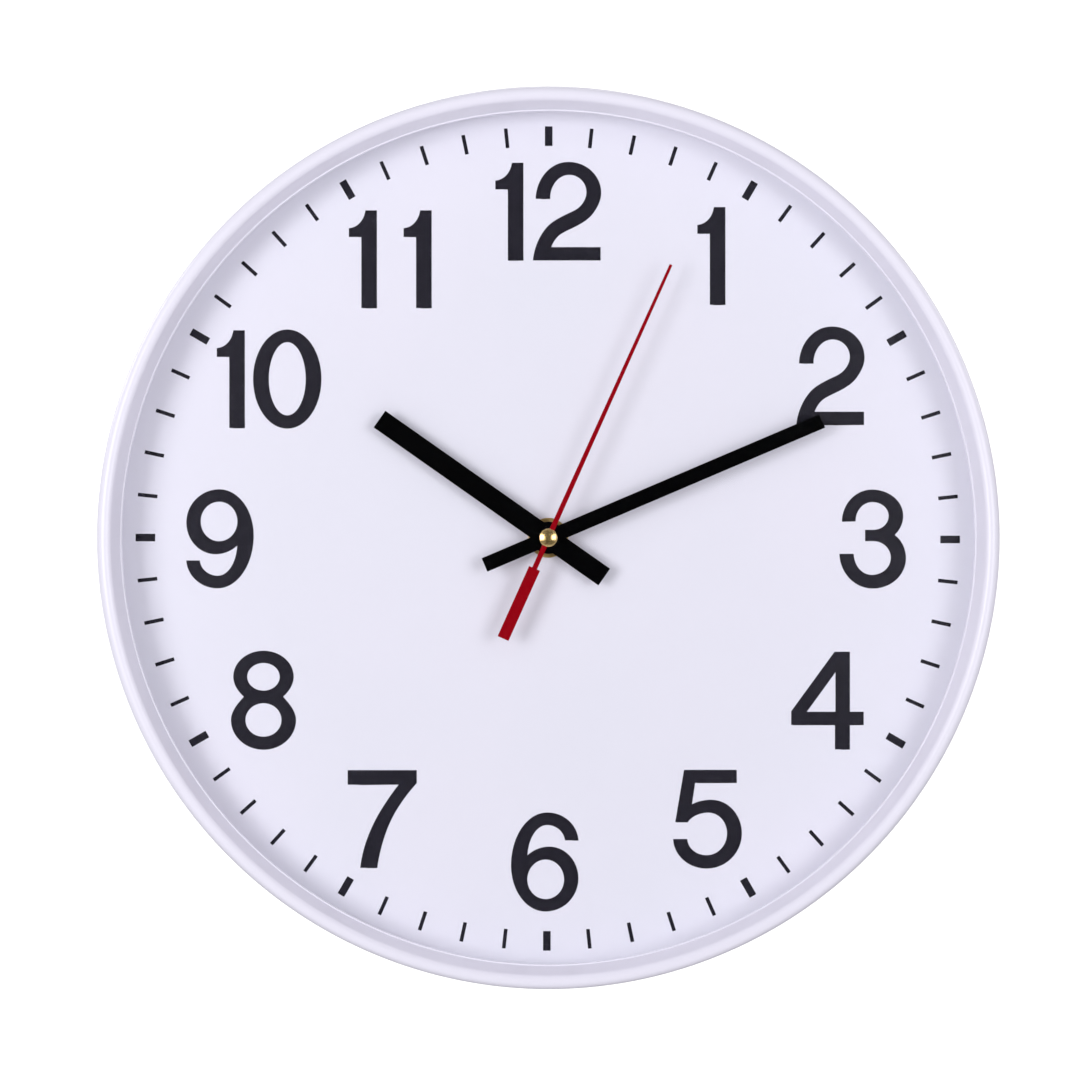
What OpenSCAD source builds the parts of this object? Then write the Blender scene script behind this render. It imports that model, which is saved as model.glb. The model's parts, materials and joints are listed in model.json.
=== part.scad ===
// Round office wall clock with a battery quartz movement.
// Inside the modules z = 0 is the wall, z grows towards the viewer, y is up and the
// hands turn about x = y = 0. upright() then stands the clock up, facing -Y.

/* [Case] */
// Outside diameter at the widest part of the bezel
outer_d = 300; // [290:1:340]
// Width of the bezel band seen from the front
bezel_band = 7.7; // [7.6:0.1:12]
// Wall thickness of the bezel moulding
bezel_wall = 1.6; // [1.2:0.1:1.8]
// Radius of the rounded front edge
crest_r = 2.5; // [2.4:0.1:3.3]
// How much smaller the rear rim is in radius than the widest part
skirt_draft = 0.6; // [0:0.1:1]
// Depth from the front edge down to the inner lip
lip_drop = 6.4; // [5.4:0.1:9]
// Thickness of the lip in front of the lens
lip_t = 1.2; // [0.8:0.1:2]
// How far the lens reaches under the lip
lens_hold = 2.3; // [1.5:0.1:2.4]
// Thickness of the lens
lens_t = 2; // [1.5:0.1:3]
// Clearance between pieces that drop into one another
fit_gap = 0.2; // [0.1:0.05:0.3]
// Number of screws that hold the pan in the bezel
pan_screw_n = 6; // [4:1:12]
// Radius of the screws that hold the pan and the hanger
screw_r = 0.75; // [0.6:0.05:0.8]

/* [Pan and dial] */
// Thickness of the pan floor
pan_t = 2; // [1.5:0.1:3]
// Thickness of the pan rim and its flange
rim_t = 1; // [0.8:0.1:1.4]
// Thickness of the stiffening ribs behind the pan
rib_t = 1.4; // [1:0.1:2]
// Height of the stiffening ribs behind the pan
rib_h = 4; // [2:0.5:8]
// Number of radial ribs
rib_n = 8; // [6:2:12]
// Thickness of the printed dial sheet
dial_t = 0.5; // [0.3:0.1:1]

/* [Hanger] */
// Distance from the clock's upper edge down to the middle of the hanger plate
hanger_drop = 46; // [36:1:70]
// Width of the hanger plate
hanger_w = 46; // [40:1:60]
// Height of the hanger plate
hanger_h = 26; // [24:1:36]
// Thickness of the hanger plate
hanger_t = 1.2; // [1:0.1:2]
// Gap between the wall and the hanger plate
hanger_gap = 3; // [2:0.5:5]
// Radius of the keyhole's round opening
keyhole_r = 5; // [4.5:0.1:6]
// Width of the keyhole's slot
slot_w = 5; // [4.5:0.1:6]
// Length of the slot above the round opening
slot_len = 9; // [8:0.5:12]

/* [Hands] */
// Hour hand, length from the axis to its tip
hour_len = 69.1; // [50:0.5:80]
// Hour hand, length of its tail
hour_tail = 22.9; // [10:0.5:30]
// Hour hand, width
hour_w = 6.85; // [4:0.05:9]
// Radius of the hour hand's round hub
hour_hub_r = 5.4; // [4.6:0.1:6.5]
// Minute hand, length from the axis to its tip
minute_len = 99.6; // [80:0.5:125]
// Minute hand, length of its tail
minute_tail = 23.2; // [10:0.5:30]
// Minute hand, width
minute_w = 4.9; // [3.6:0.05:7]
// Second hand, length from the axis to its tip
second_len = 100; // [80:0.5:125]
// Second hand, distance from the axis to the end of its tail
second_tail = 36.9; // [20:0.5:50]
// Second hand, distance from the axis to where the counterweight starts
weight_start = 10.2; // [7:0.5:15]
// Second hand, width of the counterweight
weight_w = 4; // [2:0.1:6]
// Second hand, width at the hub
needle_hub_w = 1.75; // [1.4:0.05:2.5]
// Second hand, width at the tip
needle_tip_w = 1; // [0.6:0.05:1.3]
// Thickness of the hour and minute hands
hand_t = 0.5; // [0.3:0.05:0.8]
// Thickness of the second hand
second_t = 0.35; // [0.2:0.05:0.5]
// Radius of the second hand's domed cap
cap_r = 3.05; // [2:0.05:4]
// Height of the domed cap
cap_h = 1.25; // [1:0.05:2]
// Height of the crown above the straight side of the cap
cap_crown = 0.65; // [0.4:0.05:1]
// Space between the cap and the lens
cap_gap = 0.6; // [0.4:0.1:4]
// Where the hour hand points, clockwise from twelve
hour_deg = 305.1; // [0:0.1:360]
// Where the minute hand points, clockwise from twelve
minute_deg = 66.9; // [0:0.1:360]
// Where the second hand points, clockwise from twelve
second_deg = 24.2; // [0:0.1:360]

/* [Centre shaft] */
// Radius of the second hand's arbor
arbor_r = 0.5; // [0.4:0.05:0.55]
// Outer radius of the minute tube
minute_tube_r = 1.6; // [1.5:0.05:1.75]
// Outer radius of the hour tube
hour_tube_r = 2.55; // [2.4:0.05:2.7]
// Outer radius of the threaded bushing
bushing_r = 3.5; // [3.3:0.05:3.6]
// Running clearance of a shaft in its bearing
run_gap = 0.05; // [0.03:0.01:0.08]
// Gap between the hands along the axis
hand_gap = 1.9; // [1.5:0.1:4]
// Radius of the washer on the dial
washer_r = 6.7; // [5.6:0.1:9]
// Thickness of the washer on the dial
washer_t = 0.5; // [0.3:0.1:1]
// Width across the flats of the hex nut
nut_w = 9; // [8.4:0.1:9.2]
// Thickness of the hex nut
nut_t = 2; // [1.5:0.1:3]
// Thickness of the rubber washer behind the pan
seal_t = 1; // [0.5:0.1:2]

/* [Movement] */
// Gap between the wall and the back of the movement
wall_gap = 5; // [4:0.5:9]
// Room between each end of the battery and the case, for a contact
end_room = 1.55; // [1.4:0.05:2.5]
// Wall thickness of the movement's case
case_wall = 1.2; // [1:0.1:1.2]
// Thickness of the movement's front wall
front_t = 1.6; // [1.5:0.1:2.5]
// Thickness of the movement's back cover
cover_t = 1.4; // [1.2:0.1:2]
// Thickness of the plate between the wheels
plate_t = 1; // [0.8:0.1:1.5]
// Thickness of the gear wheels
wheel_t = 1; // [0.8:0.1:1.2]
// Gap between one layer of wheels and the next
layer_gap = 0.6; // [0.5:0.05:0.9]
// Height of the spring washer that drives the minute tube
clutch_h = 0.8; // [0.7:0.05:1.2]
// Play between meshing teeth
backlash = 0.05; // [0.03:0.01:0.07]
// Radius of the battery
battery_r = 7.25; // [7:0.05:7.25]
// Length of the battery with its terminal
battery_len = 50.5; // [46:0.5:60]

/* [Hidden] */

$fn = 96;
eps = 0.01;

// Teeth of the wheel train and the modules that set the centre distances
pressure_deg = 20;
rotor_t = 10;
inter_t = 60;
inter_pin_t = 10;
sec_t = 50;
sec_pin_t = 8;
third_t = 60;
third_pin_t = 8;
centre_t = 64;
cannon_t = 14;
motion_t = 42;
motion_pin_t = 10;
hour_t = 40;
m_rotor = 0.25;
m_sec = 0.3;
m_centre = 0.3;
m_hour = 0.4;
d_rotor = m_rotor * (rotor_t + inter_t) / 2;
d_inter = m_sec * (inter_pin_t + sec_t) / 2;
d_third = m_centre * (third_pin_t + centre_t) / 2;
m_third = 2 * d_third / (sec_pin_t + third_t);
d_motion = m_hour * (motion_pin_t + hour_t) / 2;
m_motion = 2 * d_motion / (cannon_t + motion_t);

// Directions from one arbor to the next, and the arbors' places
deg_inter = 70;
deg_rotor = 112;
deg_third = 0;
deg_motion = 150;
at_inter = polar(d_inter, deg_inter);
at_rotor = at_inter + polar(d_rotor, deg_rotor);
at_third = polar(d_third, deg_third);
at_motion = polar(d_motion, deg_motion);
at_stem = at_motion + polar(m_motion * (cannon_t + motion_t) / 2, deg_motion);

// Profile shifts of the pinions; each wheel takes the opposite shift
shift_8 = 0.5;
shift_10 = 0.45;
shift_14 = 0.25;

// Phases that put a gap of each wheel on a tooth of its mate
phase_inter = mesh_phase(deg_rotor + 180, rotor_t, inter_t, 0);
phase_sec = mesh_phase(deg_inter + 180, inter_pin_t, sec_t, 0);
phase_third = mesh_phase(deg_third, sec_pin_t, third_t, 0);
phase_centre = mesh_phase(deg_third + 180, third_pin_t, centre_t, 0);
phase_motion = mesh_phase(deg_motion, cannon_t, motion_t, 0);
phase_hour = mesh_phase(deg_motion + 180, motion_pin_t, hour_t, 0);
phase_stem = mesh_phase(deg_motion, motion_t, cannon_t, phase_motion);

// Layers of the movement, from the wall forwards
z_cover = wall_gap;
z_cover_in = z_cover + cover_t;
cup_h = 0.5;
z_l1 = z_cover_in + cup_h + 0.3;
z_l2 = z_l1 + wheel_t + layer_gap;
z_plate = z_l2 + wheel_t + layer_gap;
z_l3 = z_plate + plate_t + layer_gap;
z_l4 = z_l3 + wheel_t + layer_gap;
z_l5 = z_l4 + wheel_t + clutch_h;
z_l6 = z_l5 + wheel_t + layer_gap;
z_front_in = z_l6 + wheel_t + layer_gap;
z_front = z_front_in + front_t;
movement_d = z_front - z_cover;

// The stack in front of the movement
z_pan = z_front + seal_t;
z_dial = z_pan + pan_t;
z_washer = z_dial + dial_t;
z_nut = z_washer + washer_t;
z_bushing = z_nut + nut_t + 1;
z_hour = z_bushing + 2;
z_minute = z_hour + hand_t + hand_gap;
z_second = z_minute + hand_t + hand_gap - 0.6;
z_cap = z_second + second_t;
z_lens = z_cap + cap_h + cap_gap;
z_lip = z_lens + lens_t;
z_lip_top = z_lip + lip_t;
depth = z_lip_top + lip_drop;

// Radii of the case, from the outside inwards
outer_r = outer_d / 2;
lip_r = outer_r - bezel_band;
seat_r = lip_r + lens_hold + fit_gap;
lens_r = seat_r - fit_gap;
seat_wall_r = seat_r + rim_t;
skirt_in_r = outer_r - skirt_draft - bezel_wall;
flange_r = skirt_in_r - fit_gap;
rim_r = lens_r;
dial_r = rim_r - rim_t - fit_gap;
screw_ring_r = (rim_r + skirt_in_r) / 2;
boss_wall = 1.4;
crest_skin = 1;
screw_head_r = 2 * screw_r;
screw_head_h = 1.2;
flange_t = rim_t + 0.4;
z_flange = z_lens - 1.5;
z_crest = depth - crest_r;
crest_x = outer_r - crest_r;

// Pan and hanger
hanger_y = outer_r - hanger_drop;
post_x = hanger_w / 2 - 6;
post_r = 4;
hole_r = bushing_r + 0.15;
rib_ring_r = sqrt(post_x * post_x + hanger_y * hanger_y);
locate_gap = 0.4;
locate_h = 3;
keyhole_drop = 4;
keyhole_y = hanger_y - keyhole_drop;
screw_len = 8;

// Movement box: as wide inside as the battery and its contacts, and as high as the wheel
// room with the coil above it and the battery bay below it
box_r = 3;
in_w = battery_len / 2 + end_room;
movement_w = 2 * (in_w + case_wall);
magnet_r = 2.1;
magnet_gap = 0.4;
stator_web = 1.23;
coil_r = 3;
coil_gap = 0.3;
coil_y = at_rotor[1] + magnet_r + magnet_gap + stator_web + coil_gap + coil_r;
room_top = coil_y + coil_r + 0.2;
room_low = -(m_centre * (centre_t / 2 + 1) + 0.9);
bay_gap = 0.15;
bay_wall = 1.2;
bay_top = room_low - case_wall;
bay_low = bay_top - 2 * (battery_r + bay_gap);
case_low = bay_low - case_wall;
case_top = room_top + case_wall;
z_bay_in = z_front - bay_wall;
notch_x = -8;
notch_r = 7;
battery_y = bay_low + bay_gap + battery_r;
battery_z = z_bay_in - bay_gap - battery_r;
nub_len = 1.2;
nub_r = 2.75;
battery_x0 = -battery_len / 2 + 0.3;
battery_x1 = battery_x0 + battery_len - nub_len;
contact_t = 0.4;
contact_half = 5;
pip_r = 2.4;
leaf_half = 4;
leaf_w = 6;
leaf_t = 0.35;
strip_h = 3;
strip_way = 0.6;

// Pivots, posts and electrical parts
pivot_r = 0.35;
hub_r = 1.1;
rib_in_r = norm([movement_w, case_top - case_low]) / 2 + 8;
post_low = [[-14, room_low + 3.3], [at_third[0] + 9.2, room_low + 3.3]];
post_high_y = at_rotor[1] - 1.07;
post_high = [[-10.5, post_high_y], [10.5, post_high_y]];
pin_r = 0.8;
peg_r = 1.5;
board_t = 1;
z_board = z_l5 - 0.2;
board_low = at_motion[1] + m_motion * (motion_t / 2 + 1) + 0.5;
board_x = in_w - contact_t - 0.1;
chip_w = 6;
chip_h = 4;
crystal_r = 1;
crystal_len = 6;
stator_t = 1;
stator_x = 13;
z_stator = z_plate - stator_t;
coil_z = z_plate + plate_t / 2;
coil_half = 9.3;
bobbin_r = 1.9;
core_w = 3;
knob_r = 4.7;
knob_out = 3.2;
stem_r = 1.2;

function polar(r, a) = [r * cos(a), r * sin(a)];

// Rotation of gear B that meshes it with gear A, which stands at turn_a, with B in direction dir
function mesh_phase(dir, teeth_a, teeth_b, turn_a) =
    dir + 180 + 180 / teeth_b + (dir - turn_a) * teeth_a / teeth_b;

function inv(a) = tan(a) - a * PI / 180;

// Half the angle that one tooth takes up at radius rho
function tooth_half(m, teeth, shift, rho) =
    let (pitch_r = m * teeth / 2,
        base_r = pitch_r * cos(pressure_deg),
        width = m * (PI / 2 + 2 * shift * tan(pressure_deg)) - backlash)
    (width / (2 * pitch_r) + inv(pressure_deg) - inv(acos(min(1, base_r / rho)))) * 180 / PI;

// Involute outline with a stub addendum; steps is the number of straight pieces on a flank
module gear_outline(m, teeth, shift, steps = 2) {
    pitch_r = m * teeth / 2;
    base_r = pitch_r * cos(pressure_deg);
    tip_r = pitch_r + m * (0.8 + shift);
    root_r = pitch_r - m * (1.1 - shift);
    start_r = max(base_r, root_r);
    flank = [for (k = [0:steps]) start_r + (tip_r - start_r) * k / steps];
    radii = root_r < base_r ? concat([root_r], flank) : flank;
    last = len(radii) - 1;
    polygon([for (i = [0:teeth - 1]) for (side = [-1, 1]) for (k = [0:last])
        let (rho = radii[side < 0 ? k : last - k])
        polar(rho, 360 * i / teeth + side * tooth_half(m, teeth, shift, max(rho, base_r)))]);
}

// A spur gear with a bore, rotated to its phase
module gear(m, teeth, shift, bore, turn = 0, steps = 2)
    linear_extrude(wheel_t) difference() {
        rotate(turn) gear_outline(m, teeth, shift, steps);
        circle(bore, $fn = 48);
    }

// A wheel with a ring of round lightening holes
module wheel(m, teeth, shift, bore, turn = 0) {
    web_r = (m * teeth / 2 - 1.5 + hub_r + 0.6) / 2;
    hole = (m * teeth / 2 - 1.5 - hub_r - 0.6) / 2 * 0.75;
    difference() {
        gear(m, teeth, shift, bore, turn);
        for (i = [0:3])
            rotate(45 + 90 * i)
                translate([web_r, 0, -eps])
                    cylinder(r = hole, h = wheel_t + 2 * eps, $fn = 48);
    }
}

// Ring of radius r1 around a hole of radius r0, from z upwards
module tube(r1, r0, z, h)
    translate([0, 0, z]) difference() {
        cylinder(r = r1, h = h);
        translate([0, 0, -eps]) cylinder(r = r0, h = h + 2 * eps);
    }

module rod(r, z0, z1) translate([0, 0, z0]) cylinder(r = r, h = z1 - z0, $fn = 48);

module slab(x0, y0, z0, x1, y1, z1) translate([x0, y0, z0]) cube([x1 - x0, y1 - y0, z1 - z0]);

module rounded_rect(w, h, r) {
    square([w - 2 * r, h], center = true);
    square([w, h - 2 * r], center = true);
    for (x = [-1, 1]) for (y = [-1, 1])
        translate([x * (w / 2 - r), y * (h / 2 - r)]) circle(r);
}

// Stands the clock up: the wall behind it, the origin in the middle of its depth
module upright() translate([0, depth / 2, 0]) rotate([90, 0, 0]) children();

// Turns a hand from twelve o'clock to its reading
module reading(deg) rotate(-deg) children();

module pan_screw_places() for (i = [0:pan_screw_n - 1])
    rotate(360 * (i + 0.5) / pan_screw_n) translate([screw_ring_r, 0, 0]) children();

module hanger_screw_places() for (x = [-post_x, post_x])
    translate([x, hanger_y, 0]) children();

module at(p) translate([p[0], p[1], 0]) children();

// Section of the bezel: leaning skirt, round crest, steep inner slope and rounded lip
module bezel_section() {
    nose_r = lip_t / 2;
    nose = [lip_r + nose_r, z_lip + nose_r];
    crest = [crest_x, z_crest];
    span = crest - nose;
    normal = atan2(span[1], span[0]) + acos((nose_r - crest_r) / norm(span));
    translate(nose) circle(nose_r);
    translate(crest) circle(crest_r);
    polygon([nose, nose + polar(nose_r, normal), crest + polar(crest_r, normal), crest,
        [outer_r, z_crest], [outer_r - skirt_draft, 0], [nose[0], 0], [nose[0], z_lip]]);
}

// The hollow behind the bezel: behind the flange, the lens seat and the groove in the crest
module bezel_hollow() {
    groove_top = z_crest - crest_skin;
    square([skirt_in_r, z_flange]);
    square([seat_r, z_lip]);
    translate([seat_wall_r, 0]) square([skirt_in_r - seat_wall_r, groove_top]);
}

module bezel() color("lavender") upright() difference() {
    union() {
        rotate_extrude($fn = 180) difference() {
            bezel_section();
            bezel_hollow();
        }
        intersection() {
            pan_screw_places() rod(screw_r + boss_wall, z_flange, z_crest - crest_skin / 2);
            tube(outer_r - bezel_wall / 2, seat_wall_r - rim_t / 2, z_flange, z_crest - z_flange);
        }
    }
    translate([0, 0, -eps]) cylinder(r = seat_r, h = z_lip + eps, $fn = 180);
    pan_screw_places() rod(screw_r + 0.03, 0, z_flange + screw_len - flange_t);
}

module lens() color("aliceblue", 0.3) upright()
    translate([0, 0, z_lens]) cylinder(r = lens_r, h = lens_t, $fn = 180);

module dial() color("ghostwhite") upright() tube(dial_r, hole_r, z_dial, dial_t);

// Dish that carries the dial and the movement, with ribs and hanger posts behind
module back_pan() color("whitesmoke") upright() {
    floor_front = z_dial;
    difference() {
        union() {
            cylinder_at(rim_r, z_pan, z_dial);
            tube(rim_r, rim_r - rim_t, z_pan, z_lens - z_pan);
            tube(flange_r, rim_r - rim_t / 2, z_flange - flange_t, flange_t);
            for (r = [rib_in_r, rib_ring_r])
                tube(r + rib_t / 2, r - rib_t / 2, z_pan - rib_h, rib_h + eps);
            for (i = [0:rib_n - 1]) rotate(360 * (i + 0.5) / rib_n)
                slab(rib_in_r, -rib_t / 2, z_pan - rib_h, rim_r - rim_t, rib_t / 2, z_pan + eps);
            hanger_screw_places() rod(post_r, hanger_gap + hanger_t, z_pan + eps);
            translate([0, 0, z_pan - locate_h]) linear_extrude(locate_h + eps) difference() {
                case_outline(locate_gap + rib_t);
                case_outline(locate_gap);
            }
        }
        rod(hole_r, z_pan - 1, z_dial + 1);
        pan_screw_places() rod(screw_r + 0.2, z_flange - flange_t - 1, z_flange + 1);
        hanger_screw_places() rod(screw_r + 0.03, hanger_gap, hanger_gap + hanger_t + screw_len);
    }
}

module cylinder_at(r, z0, z1) translate([0, 0, z0]) cylinder(r = r, h = z1 - z0, $fn = 180);

// Screw with its head behind z and its shank in front
module screw(z, len) {
    rod(screw_head_r, z - screw_head_h, z);
    rod(screw_r, z - eps, z + len);
}

module pan_screws() color("silver") upright()
    pan_screw_places() screw(z_flange - flange_t, screw_len - 0.5);

module hanger_screws() color("silver") upright()
    hanger_screw_places() screw(hanger_gap, screw_len);

// Pressed plate with a keyhole: the screw head goes in below, the shank slides up the slot
module hanger_plate() color("silver") upright() translate([0, 0, hanger_gap])
    linear_extrude(hanger_t) difference() {
        translate([0, hanger_y]) rounded_rect(hanger_w, hanger_h, 3);
        translate([0, keyhole_y]) {
            circle(keyhole_r);
            translate([-slot_w / 2, 0]) square([slot_w, slot_len]);
            translate([0, slot_len]) circle(slot_w / 2);
        }
        for (x = [-post_x, post_x]) translate([x, hanger_y]) circle(screw_r + 0.2);
    }

// Post that carries the middle plate: shoulder, then the pin that is staked behind it
module plate_post(p, pin_end) at(p) {
    rod(peg_r, z_plate + plate_t, z_front_in + eps);
    rod(pin_r, pin_end, z_front_in);
}

// Outline of the movement's case, grown by a margin
module case_outline(grow = 0) translate([0, (case_low + case_top) / 2])
    rounded_rect(movement_w + 2 * grow, case_top - case_low + 2 * grow, box_r + grow);

module movement_front_case() color("dimgray") upright() {
    difference() {
        union() {
            translate([0, 0, z_cover_in]) linear_extrude(z_front - z_cover_in) case_outline();
            translate([0, 0, z_cover]) linear_extrude(cover_t + eps) intersection() {
                case_outline();
                translate([-movement_w, case_low]) square([2 * movement_w, bay_top - case_low]);
            }
        }
        slab(-in_w, room_low, 0, in_w, room_top, z_front_in);
        slab(-in_w, bay_low, 0, in_w, bay_top, z_bay_in);
        // Way for the contact strips from the bay to the circuit board
        for (x = [-in_w, in_w - strip_way]) slab(x, bay_top - 1, z_board - strip_h - 0.2,
            x + strip_way, room_low + 1, z_board + 0.2);
        // Notch for a fingertip under the battery
        translate([notch_x, case_low - 1, z_cover]) rotate([-90, 0, 0])
            cylinder(r = notch_r, h = case_wall + 1.5);
        rod(bushing_r + 0.02, z_front_in - 1, z_front + 1);
        rod(bushing_r + 1.12, z_front_in - 1, z_front_in + 0.5);
        at(at_third) rod(pivot_r + run_gap, z_front_in - 1, z_front_in + 1);
        at(at_motion) rod(arbor_r - 0.05 + run_gap, z_front_in - 1, z_front_in + 1);
        at(at_stem) rod(arbor_r - 0.1 + run_gap, z_front_in - 1, z_front_in + 1);
    }
    for (p = post_low) plate_post(p, z_plate - 0.2);
    for (p = post_high) plate_post(p, z_stator - 0.3);
    for (p = post_high) at(p) rod(peg_r + 0.5, z_board + board_t, z_front_in + eps);
}

module movement_back_cover() color("dimgray") upright() {
    cup_z = z_cover + 1.6;
    cover_lip = 1;
    difference() {
        union() {
            translate([0, 0, z_cover]) linear_extrude(cover_t) intersection() {
                case_outline();
                translate([-movement_w, bay_top + bay_gap]) square(2 * movement_w);
            }
            translate([0, 0, z_cover_in - eps]) linear_extrude(cover_lip + eps) difference() {
                translate([-in_w + bay_gap, room_low + bay_gap])
                    square([2 * (in_w - bay_gap), room_top - room_low - 2 * bay_gap]);
                translate([-in_w + bay_gap + cover_lip, room_low + bay_gap + 0.6])
                    square([2 * (in_w - bay_gap - cover_lip),
                        room_top - room_low - 2 * bay_gap - 0.6 - cover_lip]);
            }
            for (p = [[0, 0], at_inter, at_rotor]) at(p) rod(1.4, z_cover_in - eps, z_cover_in + cup_h);
            at(at_stem) rod(knob_r + 1.5, z_cover_in - eps, cup_z + 1.2);
        }
        at(at_stem) rod(knob_r + 0.5, z_cover - 1, cup_z);
        at(at_stem) rod(stem_r + run_gap, z_cover, cup_z + 2);
        rod(arbor_r + run_gap, z_cover_in - 0.6, z_l1);
        at(at_inter) rod(pivot_r + run_gap, z_cover_in - 0.6, z_l1);
        at(at_rotor) rod(pivot_r + run_gap, z_cover_in - 0.6, z_l1);
    }
}

// Plate between the seconds wheel and the third wheel, with the front and rear pivots
module middle_plate() color("gainsboro") upright() {
    edge = 2.2;
    translate([0, 0, z_plate]) linear_extrude(plate_t) difference() {
        polygon([post_low[0] + [-edge, -edge], post_low[1] + [edge, -edge],
            post_low[1] + [edge, edge], post_high[1] + [edge, 3], post_high[0] + [-edge, 3],
            post_low[0] + [-edge, edge]]);
        circle(m_third * (sec_pin_t / 2 + 1.3) + 0.3);
        for (p = concat(post_low, post_high)) translate(p) circle(pin_r + 0.02, $fn = 48);
        for (p = [at_inter, at_rotor, at_third]) translate(p) circle(pivot_r + run_gap, $fn = 48);
    }
}

module shaft_bushing() color("goldenrod") upright() {
    tube(bushing_r, hour_tube_r + run_gap, z_front_in, z_bushing - z_front_in);
    tube(bushing_r + 1.1, bushing_r - 0.3, z_front_in, 0.5);
}

module rubber_washer() color("black") upright() tube(11, hole_r, z_front, seal_t);

module brass_washer() color("goldenrod") upright() tube(washer_r, hole_r, z_washer, washer_t);

module hex_nut() color("goldenrod") upright() translate([0, 0, z_nut]) difference() {
    cylinder(r = nut_w / 2 / cos(30), h = nut_t, $fn = 6);
    translate([0, 0, -eps]) cylinder(r = bushing_r + 0.02, h = nut_t + 2 * eps);
}

// Lies along x around the coil core
module along_x(x0) translate([x0, coil_y, coil_z]) rotate([0, 90, 0]) children();

module coil_bobbin() color("white") upright() difference() {
    union() {
        along_x(-coil_half) cylinder(r = bobbin_r, h = 2 * coil_half);
        for (x = [-1, 1]) slab(x * coil_half - 0.3, coil_y - coil_r, coil_z - coil_r,
            x * coil_half + 0.3, coil_y + coil_r, coil_z + coil_r);
    }
    slab(-stator_x, coil_y - core_w / 2 - 0.02, z_plate - 0.02,
        stator_x, coil_y + core_w / 2 + 0.02, z_plate + plate_t + 0.02);
}

module coil_winding() color("chocolate") upright() along_x(-coil_half + 0.3) difference() {
    cylinder(r = coil_r - 0.1, h = 2 * coil_half - 0.6);
    translate([0, 0, -eps]) cylinder(r = bobbin_r + 0.02, h = 2 * coil_half);
}

module coil_core() color("slategray") upright()
    slab(-stator_x, coil_y - core_w / 2, z_plate, stator_x, coil_y + core_w / 2, z_plate + plate_t);

// U-shaped lamination with the rotor's hole between its arms
module stator() color("slategray") upright() translate([0, 0, z_stator]) linear_extrude(stator_t)
    difference() {
        translate([-stator_x, post_high_y - 2.7])
            square([2 * stator_x, coil_y + core_w / 2 - post_high_y + 2.7]);
        translate([-coil_half - 0.9, coil_y - coil_r - coil_gap])
            square([2 * coil_half + 1.8, 3 * coil_r]);
        translate(at_rotor) circle(magnet_r + magnet_gap);
        for (a = [30, 210]) translate(at_rotor) rotate(a)
            translate([magnet_r + 0.3, 0]) circle(0.35, $fn = 24);
        for (p = post_high) translate(p) circle(pin_r + 0.02, $fn = 48);
    }

module circuit_board() color("darkgreen") upright() translate([0, 0, z_board])
    linear_extrude(board_t) difference() {
        translate([-board_x, board_low]) square([2 * board_x, room_top - 0.4 - board_low]);
        for (p = post_high) translate(p) circle(peg_r + 0.05);
    }

module chip() color("black") upright()
    slab(2, board_low + 2.2, z_board - 0.9, 2 + chip_w, board_low + 2.2 + chip_h, z_board);

module crystal() color("silver") upright()
    translate([-crystal_len - 1, board_low + 2.2 + chip_h / 2, z_board - crystal_r - 0.02])
        rotate([0, 90, 0]) cylinder(r = crystal_r, h = crystal_len);

// Sheet contact: a plate on the end wall of the bay and a strip that runs to the board
module contact_strip(side) {
    x0 = side > 0 ? in_w - contact_t : -in_w;
    slab(x0, battery_y - contact_half, battery_z - contact_half, x0 + contact_t,
        battery_y + contact_half, z_board);
    slab(x0, battery_y, z_board - strip_h, x0 + contact_t, board_low + 3, z_board);
}

module contact_positive() color("silver") upright() {
    contact_strip(1);
    translate([battery_x1 + nub_len + 0.1, battery_y, battery_z]) rotate([0, 90, 0])
        cylinder(r = pip_r, h = in_w - contact_t - battery_x1 - nub_len - 0.1 + eps);
}

// The bowed leaf presses on the battery's flat end
module contact_negative() color("silver") upright() {
    reach = battery_x0 - 0.1 + in_w - contact_t;
    bow_r = (reach * reach + leaf_half * leaf_half) / (2 * reach);
    contact_strip(-1);
    translate([battery_x0 - 0.1 - bow_r, battery_y, battery_z - leaf_w / 2]) linear_extrude(leaf_w)
        intersection() {
            difference() {
                circle(bow_r);
                circle(bow_r - leaf_t);
            }
            translate([bow_r - reach - eps, -leaf_w]) square([reach + 1, 2 * leaf_w]);
        }
}

module battery() color("darkorange") upright() translate([battery_x0, battery_y, battery_z])
    rotate([0, 90, 0]) cylinder(r = battery_r, h = battery_x1 - battery_x0);

module battery_terminal() color("silver") upright() translate([battery_x1, battery_y, battery_z])
    rotate([0, 90, 0]) cylinder(r = nub_r, h = nub_len);

module rotor_magnet() color("dimgray") upright() at(at_rotor)
    tube(magnet_r, hub_r - 0.4 + 0.005, z_l1 + wheel_t + 0.3, z_plate - z_l1 - wheel_t - 0.5);

module rotor_pinion() color("white") upright() at(at_rotor) {
    translate([0, 0, z_l1]) linear_extrude(wheel_t)
        gear_outline(m_rotor, rotor_t, shift_10, 3);
    rod(pivot_r, z_cover_in - 0.5, z_plate + plate_t - 0.2);
    rod(hub_r - 0.4, z_l1 + wheel_t - eps, z_plate - 0.2);
}

module intermediate_wheel() color("white") upright() at(at_inter) {
    translate([0, 0, z_l1]) wheel(m_rotor, inter_t, -shift_10, 0.2, phase_inter);
    rod(hub_r, z_l1 + wheel_t - eps, z_l2 + eps);
    translate([0, 0, z_l2]) linear_extrude(wheel_t)
        gear_outline(m_sec, inter_pin_t, shift_10, 3);
    rod(pivot_r, z_cover_in - 0.5, z_plate + plate_t - 0.2);
}

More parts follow.
